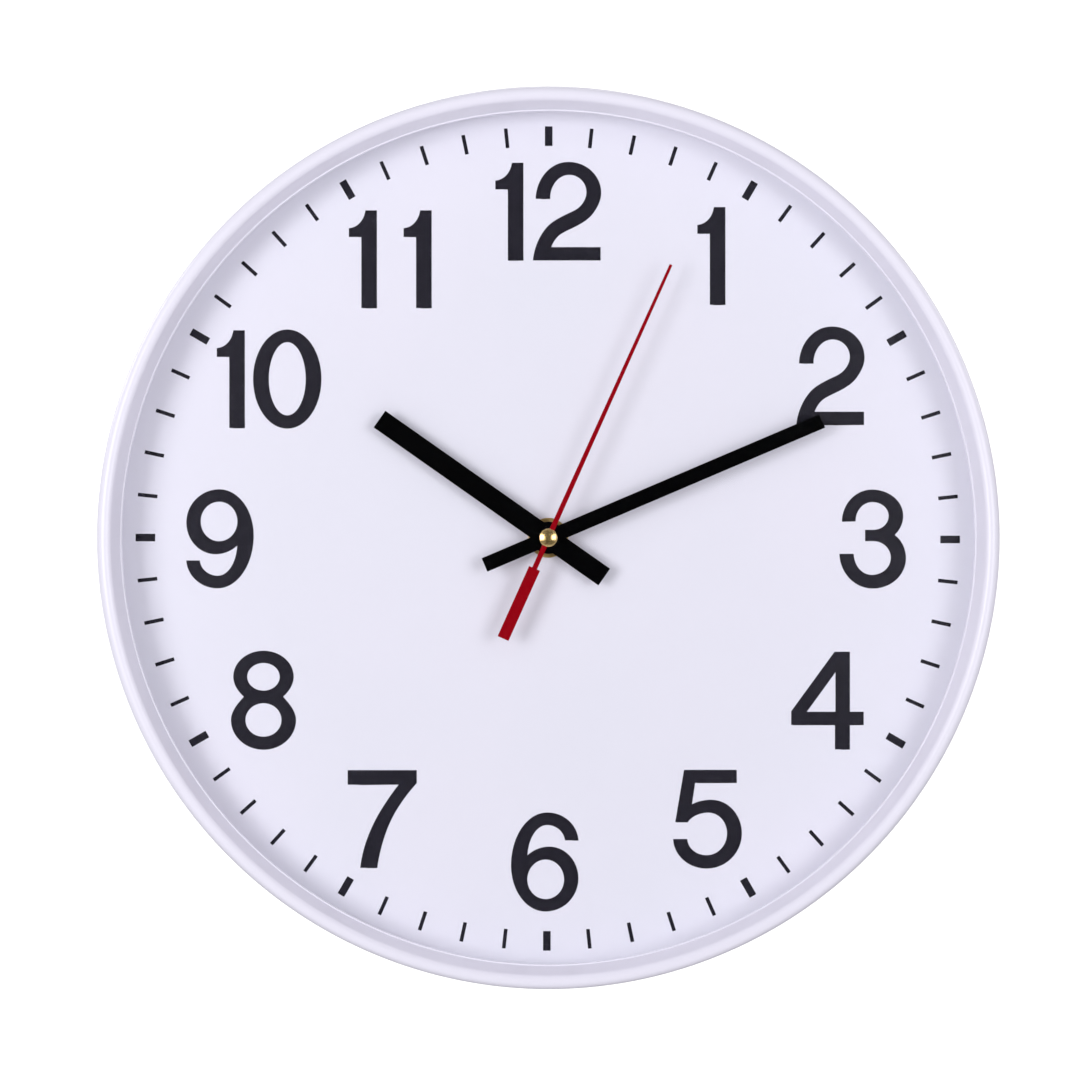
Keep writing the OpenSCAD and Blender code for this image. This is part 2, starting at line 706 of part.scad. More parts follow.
module seconds_wheel() color("white") upright() {
    bore = arbor_r + 0.005;
    translate([0, 0, z_l2]) wheel(m_sec, sec_t, -shift_10, bore, phase_sec);
    tube(hub_r, bore, z_l2 + wheel_t - eps, z_l3 - z_l2 - wheel_t + 2 * eps);
    translate([0, 0, z_l3]) gear(m_third, sec_pin_t, shift_8, bore, 0, 3);
}

module seconds_arbor() color("silver") upright() rod(arbor_r, z_cover_in - 0.5, z_cap + cap_h - 0.45);

// Needle that tapers to its tip, narrow tail stem, flat counterweight and a pressed-on boss
module second_hand() color("crimson") upright() reading(second_deg) {
    bore = arbor_r + 0.005;
    difference() {
        union() {
            translate([0, 0, z_second]) linear_extrude(second_t) {
                polygon([[-needle_hub_w / 2, -weight_start - eps], [needle_hub_w / 2, -weight_start - eps],
                    [needle_hub_w / 2, 0], [needle_tip_w / 2, second_len],
                    [-needle_tip_w / 2, second_len], [-needle_hub_w / 2, 0]]);
                translate([-weight_w / 2, -second_tail])
                    square([weight_w, second_tail - weight_start]);
                circle(cap_r - 0.6);
            }
            rod(1.3, z_minute + hand_t + 0.85, z_second + eps);
        }
        rod(bore, z_minute, z_cap + 1);
    }
}

// Domed brass cap on the arbor's end
module second_hand_cap() color("gold") upright() {
    dome_r = (cap_r * cap_r + cap_crown * cap_crown) / (2 * cap_crown);
    difference() {
        intersection() {
            rod(cap_r, z_cap, z_cap + cap_h + 1);
            translate([0, 0, z_cap + cap_h - dome_r]) sphere(dome_r);
        }
        rod(arbor_r + 0.005, z_cap - 1, z_cap + cap_h - 0.4);
    }
}

module third_wheel() color("white") upright() at(at_third) {
    translate([0, 0, z_l3]) wheel(m_third, third_t, -shift_8, 0.2, phase_third);
    rod(hub_r, z_l3 + wheel_t - eps, z_l4 + eps);
    translate([0, 0, z_l4]) linear_extrude(wheel_t)
        gear_outline(m_centre, third_pin_t, shift_8, 3);
    rod(0.6, z_l4 + wheel_t - eps, z_front_in - 0.3);
    rod(pivot_r, z_plate + 0.1, z_front_in + 0.8);
}

// Turns with the seconds train and slips on the minute tube when the hands are set
module centre_wheel() color("white") upright() translate([0, 0, z_l4])
    wheel(m_centre, centre_t, -shift_8, minute_tube_r - 0.35 + run_gap, phase_centre);

// Conical spring washer that presses the centre wheel
module clutch_washer() color("silver") upright() rotate_extrude($fn = 60) {
    inner = minute_tube_r - 0.35 + 0.02;
    polygon([[inner, z_l5 - 0.3], [inner, z_l5], [inner + 0.4, z_l5],
        [inner + 2.4, z_l4 + wheel_t + 0.3], [inner + 2.4, z_l4 + wheel_t + run_gap]]);
}

// Minute tube with its pinion; two flats at the front take the minute hand
module cannon_pinion() color("goldenrod") upright() {
    tail_r = minute_tube_r - 0.35;
    tail_z = z_l4 - 0.45;
    difference() {
        union() {
            rod(tail_r + 0.35, tail_z, tail_z + 0.3);
            rod(tail_r, tail_z, z_l5 + wheel_t);
            translate([0, 0, z_l5]) linear_extrude(wheel_t)
                gear_outline(m_motion, cannon_t, shift_14, 3);
            rod(minute_tube_r, z_l5, z_minute + hand_t + 0.5);
        }
        for (a = [0, 180]) rotate(a - minute_deg)
            slab(minute_tube_r - 0.25, -3, z_minute, minute_tube_r + 1, 3, z_minute + 5);
        rod(arbor_r + run_gap, tail_z - 1, z_minute + hand_t + 1);
    }
}

module minute_seat(gap) rotate(-minute_deg) intersection() {
    circle(minute_tube_r + gap, $fn = 60);
    square([2 * (minute_tube_r - 0.25 + gap), 8], center = true);
}

// Straight bar with square ends, a round hub and a hole
module bar_hand(len, tail, w, hub) difference() {
    union() {
        translate([-w / 2, -tail]) square([w, len + tail]);
        circle(hub);
    }
    children();
}

module minute_hand() color("black") upright() translate([0, 0, z_minute]) linear_extrude(hand_t)
    difference() {
        reading(minute_deg) bar_hand(minute_len, minute_tail, minute_w, 3.9) circle(eps);
        minute_seat(0.01);
    }

module hour_hand() color("black") upright() translate([0, 0, z_hour]) linear_extrude(hand_t)
    reading(hour_deg) bar_hand(hour_len, hour_tail, hour_w, hour_hub_r)
        circle(hour_tube_r + 0.01);

module hour_hand_collet() color("goldenrod") upright()
    tube(hour_tube_r + 1, hour_tube_r + 0.01, z_bushing + 0.4, z_hour - z_bushing - 0.4);

module minute_work_pin() color("silver") upright() at(at_motion) {
    rod(arbor_r - 0.05, z_l5 - 0.1, z_front_in + 0.8);
    rod(arbor_r + 0.4, z_l5 - 0.4, z_l5 - 0.1);
}

module minute_work_wheel() color("white") upright() at(at_motion) {
    bore = arbor_r - 0.05 + run_gap;
    translate([0, 0, z_l5]) wheel(m_motion, motion_t, -shift_14, bore, phase_motion);
    tube(hub_r + 0.2, bore, z_l5 + wheel_t - eps, z_l6 - z_l5 - wheel_t + 2 * eps);
    translate([0, 0, z_l6]) gear(m_hour, motion_pin_t, shift_10, bore, 0, 3);
}

module setting_arbor() color("silver") upright() at(at_stem)
    rod(arbor_r - 0.1, z_cover, z_front_in + 0.8);

// Pinion and stem that the knob turns from behind
module setting_stem() color("white") upright() at(at_stem) {
    bore = arbor_r - 0.1 + run_gap;
    difference() {
        union() {
            rod(stem_r, z_cover - 1.2, z_front_in - 0.3);
            translate([0, 0, z_l5]) linear_extrude(wheel_t)
                rotate(phase_stem) gear_outline(m_motion, cannon_t, shift_14, 3);
        }
        rod(bore, z_cover - 0.2, z_front_in);
    }
}

module setting_knob() color("white") upright() at(at_stem) difference() {
    rod(knob_r, z_cover - knob_out, z_cover + 1.3);
    rod(stem_r + 0.01, z_cover - 1.22, z_cover + 2);
    for (i = [0:17]) rotate(20 * i) translate([knob_r + 0.1, 0, 0])
        rod(0.5, z_cover - knob_out - 1, z_cover + 2);
}

// Thin washer between the hour wheel and the front wall
module hour_wheel_washer() color("silver") upright()
    tube(5, hour_tube_r + run_gap, z_l6 + wheel_t + 0.08, layer_gap - 0.18);

module hour_wheel() color("white") upright() {
    bore = minute_tube_r + run_gap;
    translate([0, 0, z_l6]) wheel(m_hour, hour_t, -shift_10, bore, phase_hour);
    tube(hour_tube_r, bore, z_l6 + wheel_t - eps, z_hour + hand_t + 0.3 - z_l6 - wheel_t);
}

bezel();
lens();
dial();
back_pan();
pan_screws();
hanger_plate();
hanger_screws();
movement_front_case();
movement_back_cover();
middle_plate();
shaft_bushing();
rubber_washer();
brass_washer();
hex_nut();
coil_bobbin();
coil_winding();
coil_core();
stator();
circuit_board();
chip();
crystal();
contact_positive();
contact_negative();
battery();
battery_terminal();
rotor_magnet();
rotor_pinion();
intermediate_wheel();
seconds_wheel();
seconds_arbor();
second_hand();
second_hand_cap();
third_wheel();
centre_wheel();
clutch_washer();
cannon_pinion();
minute_hand();
minute_work_pin();
minute_work_wheel();
setting_arbor();
setting_stem();
setting_knob();
hour_wheel_washer();
hour_wheel();
hour_hand();
hour_hand_collet();
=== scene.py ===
import json
import math

import bmesh
import bpy
from mathutils import Matrix, Vector


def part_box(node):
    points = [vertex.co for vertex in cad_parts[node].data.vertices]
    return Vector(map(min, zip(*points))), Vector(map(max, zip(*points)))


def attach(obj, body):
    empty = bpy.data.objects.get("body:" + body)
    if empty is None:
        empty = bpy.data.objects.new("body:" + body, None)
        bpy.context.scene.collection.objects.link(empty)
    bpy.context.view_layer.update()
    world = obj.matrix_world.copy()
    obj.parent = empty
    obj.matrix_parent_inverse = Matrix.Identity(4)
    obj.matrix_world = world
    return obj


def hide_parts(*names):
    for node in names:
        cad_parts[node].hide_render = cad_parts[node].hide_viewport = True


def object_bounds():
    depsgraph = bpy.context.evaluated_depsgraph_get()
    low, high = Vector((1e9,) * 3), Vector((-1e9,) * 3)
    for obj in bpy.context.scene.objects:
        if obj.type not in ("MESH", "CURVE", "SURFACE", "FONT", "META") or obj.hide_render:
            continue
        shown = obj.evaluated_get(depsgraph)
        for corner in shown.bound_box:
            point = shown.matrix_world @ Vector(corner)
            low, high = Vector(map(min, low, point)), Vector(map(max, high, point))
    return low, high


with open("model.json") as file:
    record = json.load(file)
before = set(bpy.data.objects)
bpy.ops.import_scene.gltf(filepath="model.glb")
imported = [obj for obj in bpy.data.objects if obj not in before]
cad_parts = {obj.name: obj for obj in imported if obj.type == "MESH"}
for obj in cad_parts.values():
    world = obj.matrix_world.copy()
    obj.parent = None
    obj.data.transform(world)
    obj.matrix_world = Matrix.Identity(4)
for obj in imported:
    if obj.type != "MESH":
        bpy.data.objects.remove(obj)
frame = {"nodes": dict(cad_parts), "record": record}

bl_info = {
    "name": "Wall clock looks",
    "version": (1, 0, 0),
    "blender": (4, 5, 0),
    "location": "3D View > Sidebar > Wall Clock",
    "description": "Builds the visible pieces, finishes and stage of a round wall clock round its CAD frame",
    "category": "Object",
}

CAD_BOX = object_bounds()
MM = 0.001

# Pieces are shaped lying on their back, with X to the right, Y to the twelve and Z towards the viewer, and
# this turn stands them up to face -Y.
UPRIGHT = Matrix.Rotation(math.radians(90), 4, "X")

# Radii of the holes round the movement's bushing and on the arbor of the second hand
BUSHING_HOLE = 3.65 * MM
ARBOR_HOLE = 0.505 * MM

# Steps in which the bezel, the dial and lens, and the small round pieces are spun
BEZEL_STEPS, DISC_STEPS, SMALL_STEPS = 288, 180, 96


def linear(code):
    """A hex colour, as painters and printers write it, as the linear numbers that light is counted in."""
    parts = [int(code[i:i + 2], 16) / 255 for i in (1, 3, 5)]
    return tuple(p / 12.92 if p <= 0.04045 else ((p + 0.055) / 1.055) ** 2.4 for p in parts)


def darker(colour, share):
    """A colour with only a share of its light."""
    return tuple(part * share for part in colour)


def reach(node):
    """How far back and how far forward a CAD solid reaches, measured towards the viewer."""
    low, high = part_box(node)
    return -high.y, -low.y


def middle(node):
    """The middle of a CAD solid, lying on its back."""
    low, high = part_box(node)
    centre = (low + high) / 2
    return Vector((centre.x, centre.z, -centre.y))


# ---------------------------------------------------------------- sizes and colours


def mm_size(name, description, mm):
    """A length that the user can change, with its default in millimetres."""
    return bpy.props.FloatProperty(name=name, description=description, default=mm * MM,
                                   subtype="DISTANCE", unit="LENGTH")


def degree_turn(name, description, degrees):
    """An angle that the user can change, with its default in degrees."""
    return bpy.props.FloatProperty(name=name, description=description, default=math.radians(degrees),
                                   subtype="ANGLE", unit="ROTATION")


def hex_colour(name, description, code):
    """A colour that the user can change, with its default as a hex value."""
    return bpy.props.FloatVectorProperty(name=name, description=description, default=linear(code),
                                         subtype="COLOR", min=0, max=1)


class ClockSizes(bpy.types.PropertyGroup):
    """Sizes of the case and the print"""

    crest_outside: mm_size("Outer crest radius", "Rounding from the bezel's front edge to its outside", 2.6)
    crest_inside: mm_size("Inner crest radius", "Rounding from the bezel's front edge to its slope", 2.6)
    ledge: mm_size("Ledge", "Width of the flat ledge between the inner slope and the opening", 0.5)
    lip_radius: mm_size("Lip opening", "Radius of the opening inside the bezel's lip", 142.1)
    lip_thickness: mm_size("Lip thickness", "Thickness of the lip that holds the lens", 1.2)
    number_height: mm_size("Number height", "Height of the printed numbers", 32.6)
    mark_inside: mm_size("Minute marks, inner end", "From the axis to the inner end of the marks", 131.9)
    mark_outside: mm_size("Minute marks, outer end", "From the axis to the outer end of the marks", 138.5)
    minute_mark: mm_size("Minute mark width", "Width of a mark between two hours", 1.25)
    hour_mark: mm_size("Hour mark width", "Width of the mark at each hour", 2.55)
    ring_turn: degree_turn("Turn of the marks", "How far clockwise the ring of marks is printed", 0.133)
    ring_shift: bpy.props.FloatVectorProperty(
        name="Shift of the marks", description="How far the ring of marks is printed off the axis",
        default=(-0.17 * MM, -0.25 * MM), size=2, subtype="XYZ", unit="LENGTH")
    ink: mm_size("Ink thickness", "How far the printed ink stands off the dial", 0.03)
    ink_spread: mm_size("Ink spread", "How far the ink runs past the drawn outline of a number", 0.12)


class HandSizes(bpy.types.PropertyGroup):
    """Sizes and places of the three hands"""

    hour_angle: degree_turn("Hour hand points to", "Angle of the hand, clockwise from twelve", 305.1)
    hour_length: mm_size("Hour hand length", "From the axis to the tip", 69.1)
    hour_tail: mm_size("Hour hand tail", "From the axis to the end of the tail", 22.9)
    hour_width: mm_size("Hour hand width", "Width of the bar", 6.85)
    hour_hub: mm_size("Hour hand hub", "Radius of the round hub", 5.4)
    minute_angle: degree_turn("Minute hand points to", "Angle of the hand, clockwise from twelve", 66.9)
    minute_length: mm_size("Minute hand length", "From the axis to the tip", 99.6)
    minute_tail: mm_size("Minute hand tail", "From the axis to the end of the tail", 23.2)
    minute_width: mm_size("Minute hand width", "Width of the bar", 4.9)
    minute_hub: mm_size("Minute hand hub", "Radius of the round hub", 3.9)
    second_angle: degree_turn("Second hand points to", "Angle of the hand, clockwise from twelve", 24.2)
    second_length: mm_size("Second hand length", "From the axis to the tip", 100.0)
    second_tail: mm_size("Second hand tail", "From the axis to the end of the counterweight", 36.9)
    weight_start: mm_size("Counterweight start", "From the axis to where the counterweight begins", 11.2)
    weight_width: mm_size("Counterweight width", "Width of the counterweight", 4.0)
    needle_root: mm_size("Needle width at the hub", "Width of the second hand at the hub", 1.75)
    needle_tip: mm_size("Needle width at the tip", "Width of the second hand at its tip", 1.0)
    cap_radius: mm_size("Cap radius", "Radius of the domed cap on the second hand", 3.05)
    cap_crown: mm_size("Cap crown", "Height of the cap's crown above its straight side", 0.65)


class ClockColours(bpy.types.PropertyGroup):
    """Colours of the finishes"""

    bezel: hex_colour("Bezel", "Colour of the bezel moulding", "#E9E6F5")
    pan: hex_colour("Pan", "Colour of the pan behind the dial", "#F1F0F5")
    dial: hex_colour("Dial", "Colour of the dial card", "#E9E6F5")
    ink: hex_colour("Ink", "Colour of the numbers and marks", "#1D1A27")
    hands: hex_colour("Hour and minute hand", "Colour of the lacquer on the hour and minute hand", "#030304")
    second_hand: hex_colour("Second hand", "Colour of the lacquer on the second hand", "#980010")
    movement: hex_colour("Movement", "Colour of the movement's case", "#1B1B1D")
    battery: hex_colour("Battery", "Colour of the film round the battery", "#D8761E")


# ---------------------------------------------------------------- finishes


def add_node(tree, kind, settings=None, links=None):
    """Adds one node, sets its values and feeds its inputs."""
    node = tree.nodes.new(kind)
    for key, value in (settings or {}).items():
        if isinstance(key, str) and key.islower():
            setattr(node, key, value)
        else:
            node.inputs[key].default_value = value
    for key, source in (links or {}).items():
        tree.links.new(source, node.inputs[key])
    return node


def start_finish(name, settings=None):
    """A new material, its nodes, its shader, already joined to the output, and the place on the piece that
    its patterns follow."""
    material = bpy.data.materials.new(name)
    material.use_nodes = True
    tree = material.node_tree
    tree.nodes.clear()
    shader = add_node(tree, "ShaderNodeBsdfPrincipled", settings)
    add_node(tree, "ShaderNodeOutputMaterial", links={"Surface": shader.outputs[0]})
    return material, tree, shader, add_node(tree, "ShaderNodeTexCoord").outputs["Object"]


# Sockets of a Mix node that mixes colours
MIX_FIRST, MIX_SECOND, MIX_RESULT = 6, 7, 2


def follow(tree, shader, pattern, shades=None, glosses=None, depth=None):
    """Lets the surface follow a pattern: its colour between two shades, its roughness between two values,
    and its height by a real depth."""
    if shades:
        first, second = (*shades[0], 1), (*shades[1], 1)
        mixed = add_node(tree, "ShaderNodeMix", {"data_type": "RGBA", MIX_FIRST: first, MIX_SECOND: second},
                         {"Factor": pattern})
        tree.links.new(mixed.outputs[MIX_RESULT], shader.inputs["Base Color"])
    if glosses:
        # Nearly all of a noise lies between 0.3 and 0.7.
        spread = add_node(tree, "ShaderNodeMapRange", {
            "From Min": 0.3, "From Max": 0.7, "To Min": glosses[0], "To Max": glosses[1]}, {"Value": pattern})
        tree.links.new(spread.outputs[0], shader.inputs["Roughness"])
    if depth:
        bump = add_node(tree, "ShaderNodeBump", {"Strength": 1.0, "Distance": depth}, {"Height": pattern})
        tree.links.new(bump.outputs[0], shader.inputs["Normal"])


def add_relief(tree, shader, place, size, depth):
    """Fine unevenness of a surface: size is how wide a bump is and depth how high, both real."""
    grain = add_node(tree, "ShaderNodeTexNoise",
                     {"Scale": 1 / size, "Detail": 3.0, "Roughness": 0.55}, {"Vector": place})
    # Noise below 0.35 is cut off, so the bumps stand on a smooth ground.
    bumps = add_node(tree, "ShaderNodeMapRange", {"From Min": 0.35, "From Max": 0.75},
                     {"Value": grain.outputs[0]})
    follow(tree, shader, bumps.outputs[0], depth=depth)


def moulded_plastic(name, colour, glosses, grain, depth, tone=0.96, settings=None):
    """Plastic from a mould: an even colour with the fine specks of its pigment, a gloss that changes
    over a few centimetres where the melt cooled unevenly, and the grain of the mould's own surface."""
    material, tree, shader, place = start_finish(name, settings)
    cloud = add_node(tree, "ShaderNodeTexNoise", {"Scale": 1 / (38 * MM), "Detail": 2.0}, {"Vector": place})
    # Real pigment is far finer; specks of half a millimetre are the smallest that still show.
    specks = add_node(tree, "ShaderNodeTexNoise", {"Scale": 1 / (0.5 * MM), "Detail": 1.0}, {"Vector": place})
    follow(tree, shader, specks.outputs[0], shades=(darker(colour, tone), colour))
    follow(tree, shader, cloud.outputs[0], glosses=glosses)
    add_relief(tree, shader, place, grain, depth)
    return material


def worked_metal(name, colour, glosses, line, depth, spots=6 * MM, stretch=(1, 1, 1)):
    """Metal with the fine lines that rolling, turning or brushing leaves: line is the distance between
    them, and stretch draws them out along one way. Spots are the width of its faint stains."""
    material, tree, shader, place = start_finish(name, {"Metallic": 1.0})
    drawn = add_node(tree, "ShaderNodeMapping", {"Scale": stretch}, {"Vector": place})
    lines = add_node(tree, "ShaderNodeTexNoise", {"Scale": 1 / line, "Detail": 4.0},
                     {"Vector": drawn.outputs[0]})
    stain = add_node(tree, "ShaderNodeTexNoise", {"Scale": 1 / spots, "Detail": 3.0}, {"Vector": place})
    follow(tree, shader, stain.outputs[0], shades=(darker(colour, 0.88), colour))
    follow(tree, shader, lines.outputs[0], glosses=glosses, depth=depth)
    return material


def glossy_abs(colours):
    """White ABS from a polished mould: a soft, wide gloss, almost even, and only a trace of orange peel."""
    return moulded_plastic("abs_white_moulded_semigloss", colours.bezel, (0.285, 0.315), 2.6 * MM, 0.004 * MM,
                           0.985)


def pan_polystyrene(colours):
    """High-impact polystyrene from a spark-eroded mould: matt, with a grain a fingernail can feel."""
    return moulded_plastic("polystyrene_white_textured", colours.pan, (0.46, 0.6), 0.7 * MM, 0.02 * MM, 0.94)


def movement_abs(colours):
    """Black ABS with a fine eroded texture: it greys where light grazes it."""
    return moulded_plastic("abs_black_eroded", colours.movement, (0.42, 0.58), 0.5 * MM, 0.02 * MM, 0.8)


def gear_acetal(colours):
    """Natural acetal: milky, slightly see-into, smooth and slippery."""
    milk = {"Subsurface Weight": 0.25, "Subsurface Radius": (0.6, 0.5, 0.4), "Subsurface Scale": 1.0 * MM}
    return moulded_plastic("acetal_natural_moulded", linear("#ECE8DC"), (0.3, 0.4), 1.2 * MM, 0.004 * MM,
                           settings=milk)


def plate_plastic(colours):
    """Glass-filled plastic of the plate between the wheels: greyish, with fibre ends as fine flecks."""
    return moulded_plastic("polybutylene_glass_filled", linear("#C3C9C6"), (0.45, 0.6), 0.35 * MM, 0.01 * MM)


def chip_epoxy(colours):
    """Moulding compound of the chip: black, matt and slightly grainy."""
    return moulded_plastic("epoxy_black_moulded", linear("#151517"), (0.5, 0.62), 0.2 * MM, 0.01 * MM, 0.85)


def soft_rubber(colours):
    """Rubber of the sealing washer: black and dull with a bloom."""
    return moulded_plastic("rubber_black_soft", linear("#121214"), (0.65, 0.8), 0.6 * MM, 0.02 * MM, 0.75)


def lens_glass(colours):
    """Float glass: almost clear, with its faint green, and smooth on both faces. Lamps reach the dial
    through it, so it steps aside for their rays and for the dial's own scattered light."""
    material, tree, shader, place = start_finish("float_glass_clear", {
        "Roughness": 0.0, "IOR": 1.5, "Transmission Weight": 1.0})
    wave = add_node(tree, "ShaderNodeTexNoise", {"Scale": 1 / (60 * MM), "Detail": 1.0}, {"Vector": place})
    follow(tree, shader, wave.outputs[0], shades=(linear("#FAFDFC"), linear("#FEFEFE")))
    path = add_node(tree, "ShaderNodeLightPath")
    lets_by = add_node(tree, "ShaderNodeMath", {"operation": "MAXIMUM"},
                       {0: path.outputs["Is Shadow Ray"], 1: path.outputs["Is Diffuse Ray"]})
    through = add_node(tree, "ShaderNodeBsdfTransparent")
    mixed = add_node(tree, "ShaderNodeMixShader", links={
        0: lets_by.outputs[0], 1: shader.outputs[0], 2: through.outputs[0]})
    output = next(node for node in tree.nodes if node.type == "OUTPUT_MATERIAL")
    tree.links.new(mixed.outputs[0], output.inputs["Surface"])
    return material


def dial_card(colours):
    """Coated card: matt, very slightly clouded, with the soft tooth of the coating."""
    material, tree, shader, place = start_finish("card_white_coated_matt", {"Roughness": 0.62})
    cloud = add_node(tree, "ShaderNodeTexNoise", {"Scale": 1 / (55 * MM), "Detail": 3.0}, {"Vector": place})
    follow(tree, shader, cloud.outputs[0], shades=(darker(colours.dial, 0.985), colours.dial))
    add_relief(tree, shader, place, 0.8 * MM, 0.004 * MM)
    return material


def printed_ink(colours):
    """Screen-printed ink: a dense film with a soft gloss that lifts its black a little."""
    material, tree, shader, place = start_finish("ink_black_screen_printed")
    film = add_node(tree, "ShaderNodeTexNoise", {"Scale": 1 / (1.4 * MM), "Detail": 2.0}, {"Vector": place})
    shades = (darker(colours.ink, 0.85), colours.ink)
    follow(tree, shader, film.outputs[0], shades, (0.24, 0.27))
    return material


def lacquered_sheet(name, colour):
    """Stove lacquer on stamped aluminium sheet: an even satin film with a faint spray texture."""
    material, tree, shader, place = start_finish(name, {"Specular IOR Level": 0.3})
    grain = 0.9 * MM
    spray = add_node(tree, "ShaderNodeTexNoise", {"Scale": 1 / grain, "Detail": 2.0}, {"Vector": place})
    follow(tree, shader, spray.outputs[0], shades=(darker(colour, 0.9), colour), glosses=(0.1, 0.15))
    add_relief(tree, shader, place, grain, 0.002 * MM)
    return material


def black_lacquer(colours):
    """Black satin lacquer of the hour and minute hand."""
    return lacquered_sheet("aluminium_black_lacquered", colours.hands)


def red_lacquer(colours):
    """Red satin lacquer of the second hand."""
    return lacquered_sheet("aluminium_red_lacquered", colours.second_hand)


def gold_cap(colours):
    """Polished, gold-coloured brass: mirror-like, so it shows the lamps as bright bands."""
    return worked_metal("brass_polished_gilt", linear("#E6C688"), (0.18, 0.24), 0.4 * MM, 0.0008 * MM, 3 * MM)


def turned_brass(colours):
    """Turned brass: yellow, with the fine rings of the lathe tool."""
    return worked_metal("brass_turned", linear("#CDAE70"), (0.28, 0.36), 0.3 * MM, 0.003 * MM, 4 * MM)


def zinc_steel(colours):
    """Zinc-plated steel: bluish white, faintly mottled where the plating crystallised."""
    return worked_metal("steel_zinc_plated", linear("#C9CCD1"), (0.28, 0.42), 0.8 * MM, 0.004 * MM, 2.5 * MM)


def spring_steel(colours):
    """Nickel-plated spring steel: bright, with rolling lines along the strip."""
    return worked_metal("spring_steel_nickel_plated", linear("#CFCDC8"), (0.2, 0.26), 0.25 * MM, 0.002 * MM,
                        stretch=(1, 0.08, 1))


def nickel_iron(colours):
    """Annealed nickel-iron sheet of the motor: grey and dull, with stamping lines."""
    return worked_metal("nickel_iron_stamped", linear("#8D9096"), (0.35, 0.5), 0.3 * MM, 0.004 * MM,
                        stretch=(0.1, 1, 1))


def magnet_finish(colours):
    """Sintered magnet: dark grey and grainy."""
    return worked_metal("magnet_sintered", linear("#56565A"), (0.4, 0.55), 0.15 * MM, 0.006 * MM)


def copper_wire(colours):
    """Enamelled copper wire: the windings lie side by side across the coil, a few tenths of a millimetre
    apart so that they show."""
    settings = {"Metallic": 0.7, "Roughness": 0.32}
    material, tree, shader, place = start_finish("copper_wire_enamelled", settings)
    # At a scale of 1 the bands lie 0.314 m apart.
    turns = add_node(tree, "ShaderNodeTexWave", {
        "wave_type": "BANDS", "bands_direction": "X", "Scale": 0.314 / (0.32 * MM), "Distortion": 0.4},
        {"Vector": place})
    follow(tree, shader, turns.outputs[1], shades=(linear("#6E3413"), linear("#C9753A")), depth=0.05 * MM)
    return material


def board_epoxy(colours):
    """Circuit board: green varnish over copper tracks, which show as paler lines."""
    material, tree, shader, place = start_finish("glass_epoxy_green_varnished", {"Roughness": 0.3})
    tracks = add_node(tree, "ShaderNodeTexBrick", {
        "Scale": 1 / (9 * MM), "Mortar Size": 0.06, "Color1": (*linear("#1E5B34"), 1),
        "Color2": (*linear("#1B5430"), 1), "Mortar": (*linear("#4C8C4E"), 1)}, {"Vector": place})
    tree.links.new(tracks.outputs[0], shader.inputs["Base Color"])
    add_relief(tree, shader, place, 0.5 * MM, 0.01 * MM)
    return material


def battery_film(colours):
    """Printed film shrunk round the battery: a metallic colour with a dark band at the flat end."""
    material, tree, shader, place = start_finish("film_printed_over_steel", {"Metallic": 0.45})
    along = add_node(tree, "ShaderNodeSeparateXYZ", links={"Vector": place})
    start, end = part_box("battery")[0].x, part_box("battery")[1].x
    band = add_node(tree, "ShaderNodeMath", {"operation": "LESS_THAN", 1: start + 0.3 * (end - start)},
                    {0: along.outputs[0]})
    fleck = add_node(tree, "ShaderNodeTexNoise", {"Scale": 1 / (0.25 * MM), "Detail": 2.0}, {"Vector": place})
    follow(tree, shader, band.outputs[0], shades=(colours.battery, linear("#2B2C30")))
    follow(tree, shader, fleck.outputs[0], glosses=(0.22, 0.34))
    return material


# The finish of each material slot
FINISHES = {
    "white_abs": glossy_abs, "pan_plastic": pan_polystyrene, "clear_lens": lens_glass,
    "dial_sheet": dial_card, "dial_ink": printed_ink, "zinc_steel": zinc_steel,
    "movement_plastic": movement_abs, "gear_plastic": gear_acetal, "plate_plastic": plate_plastic,
    "brass": turned_brass, "gold_brass": gold_cap, "rubber": soft_rubber, "black_hand": black_lacquer,
    "red_hand": red_lacquer, "board": board_epoxy, "chip_epoxy": chip_epoxy, "copper": copper_wire,
    "lamination": nickel_iron, "magnet": magnet_finish, "spring_steel": spring_steel,
    "battery_jacket": battery_film,
}
MADE = {}


def finish(slot):
    """The material of a slot, made when it is first asked for."""
    if slot not in MADE:
        MADE[slot] = FINISHES[slot](bpy.context.scene.clock_colours)
    return MADE[slot]


# ---------------------------------------------------------------- shaping


def add_piece(name, bm, slot, body="clock_body", instead_of=(), crease=30, finish_of=None):
    """Stands the shape up, gives it its finish and lets it ride on its body. It shows instead of the CAD
    nodes named, and finish_of is for print, whose finish isn't that of the piece it lies on."""
    bm.transform(UPRIGHT)
    bmesh.ops.recalc_face_normals(bm, faces=bm.faces)
    mesh = bpy.data.meshes.new(name)
    bm.to_mesh(mesh)
    bm.free()
    mesh.materials.append(finish(finish_of or slot))
    mesh.shade_smooth()
    mesh.set_sharp_from_angle(angle=math.radians(crease))
    piece = bpy.data.objects.new(name, mesh)
    bpy.context.scene.collection.objects.link(piece)
    even = piece.modifiers.new("even shading", "WEIGHTED_NORMAL")
    even.keep_sharp = True
    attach(piece, body)
    if instead_of:
        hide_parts(*instead_of)


def shift(bm, *way, verts=None):
    """Moves a shape, or some of its vertices."""
    bmesh.ops.translate(bm, vec=way, verts=verts or bm.verts)
    return bm


def resize(bm, *factors, verts=None):
    """Scales a shape, or some of its vertices, along X, Y and Z."""
    bmesh.ops.scale(bm, vec=factors, verts=verts or bm.verts)
    return bm


def clockwise(bm, angle):
    """Turns a shape round the clock's axis."""
    bmesh.ops.rotate(bm, cent=(0, 0, 0), matrix=Matrix.Rotation(-angle, 3, "Z"), verts=bm.verts)
    return bm


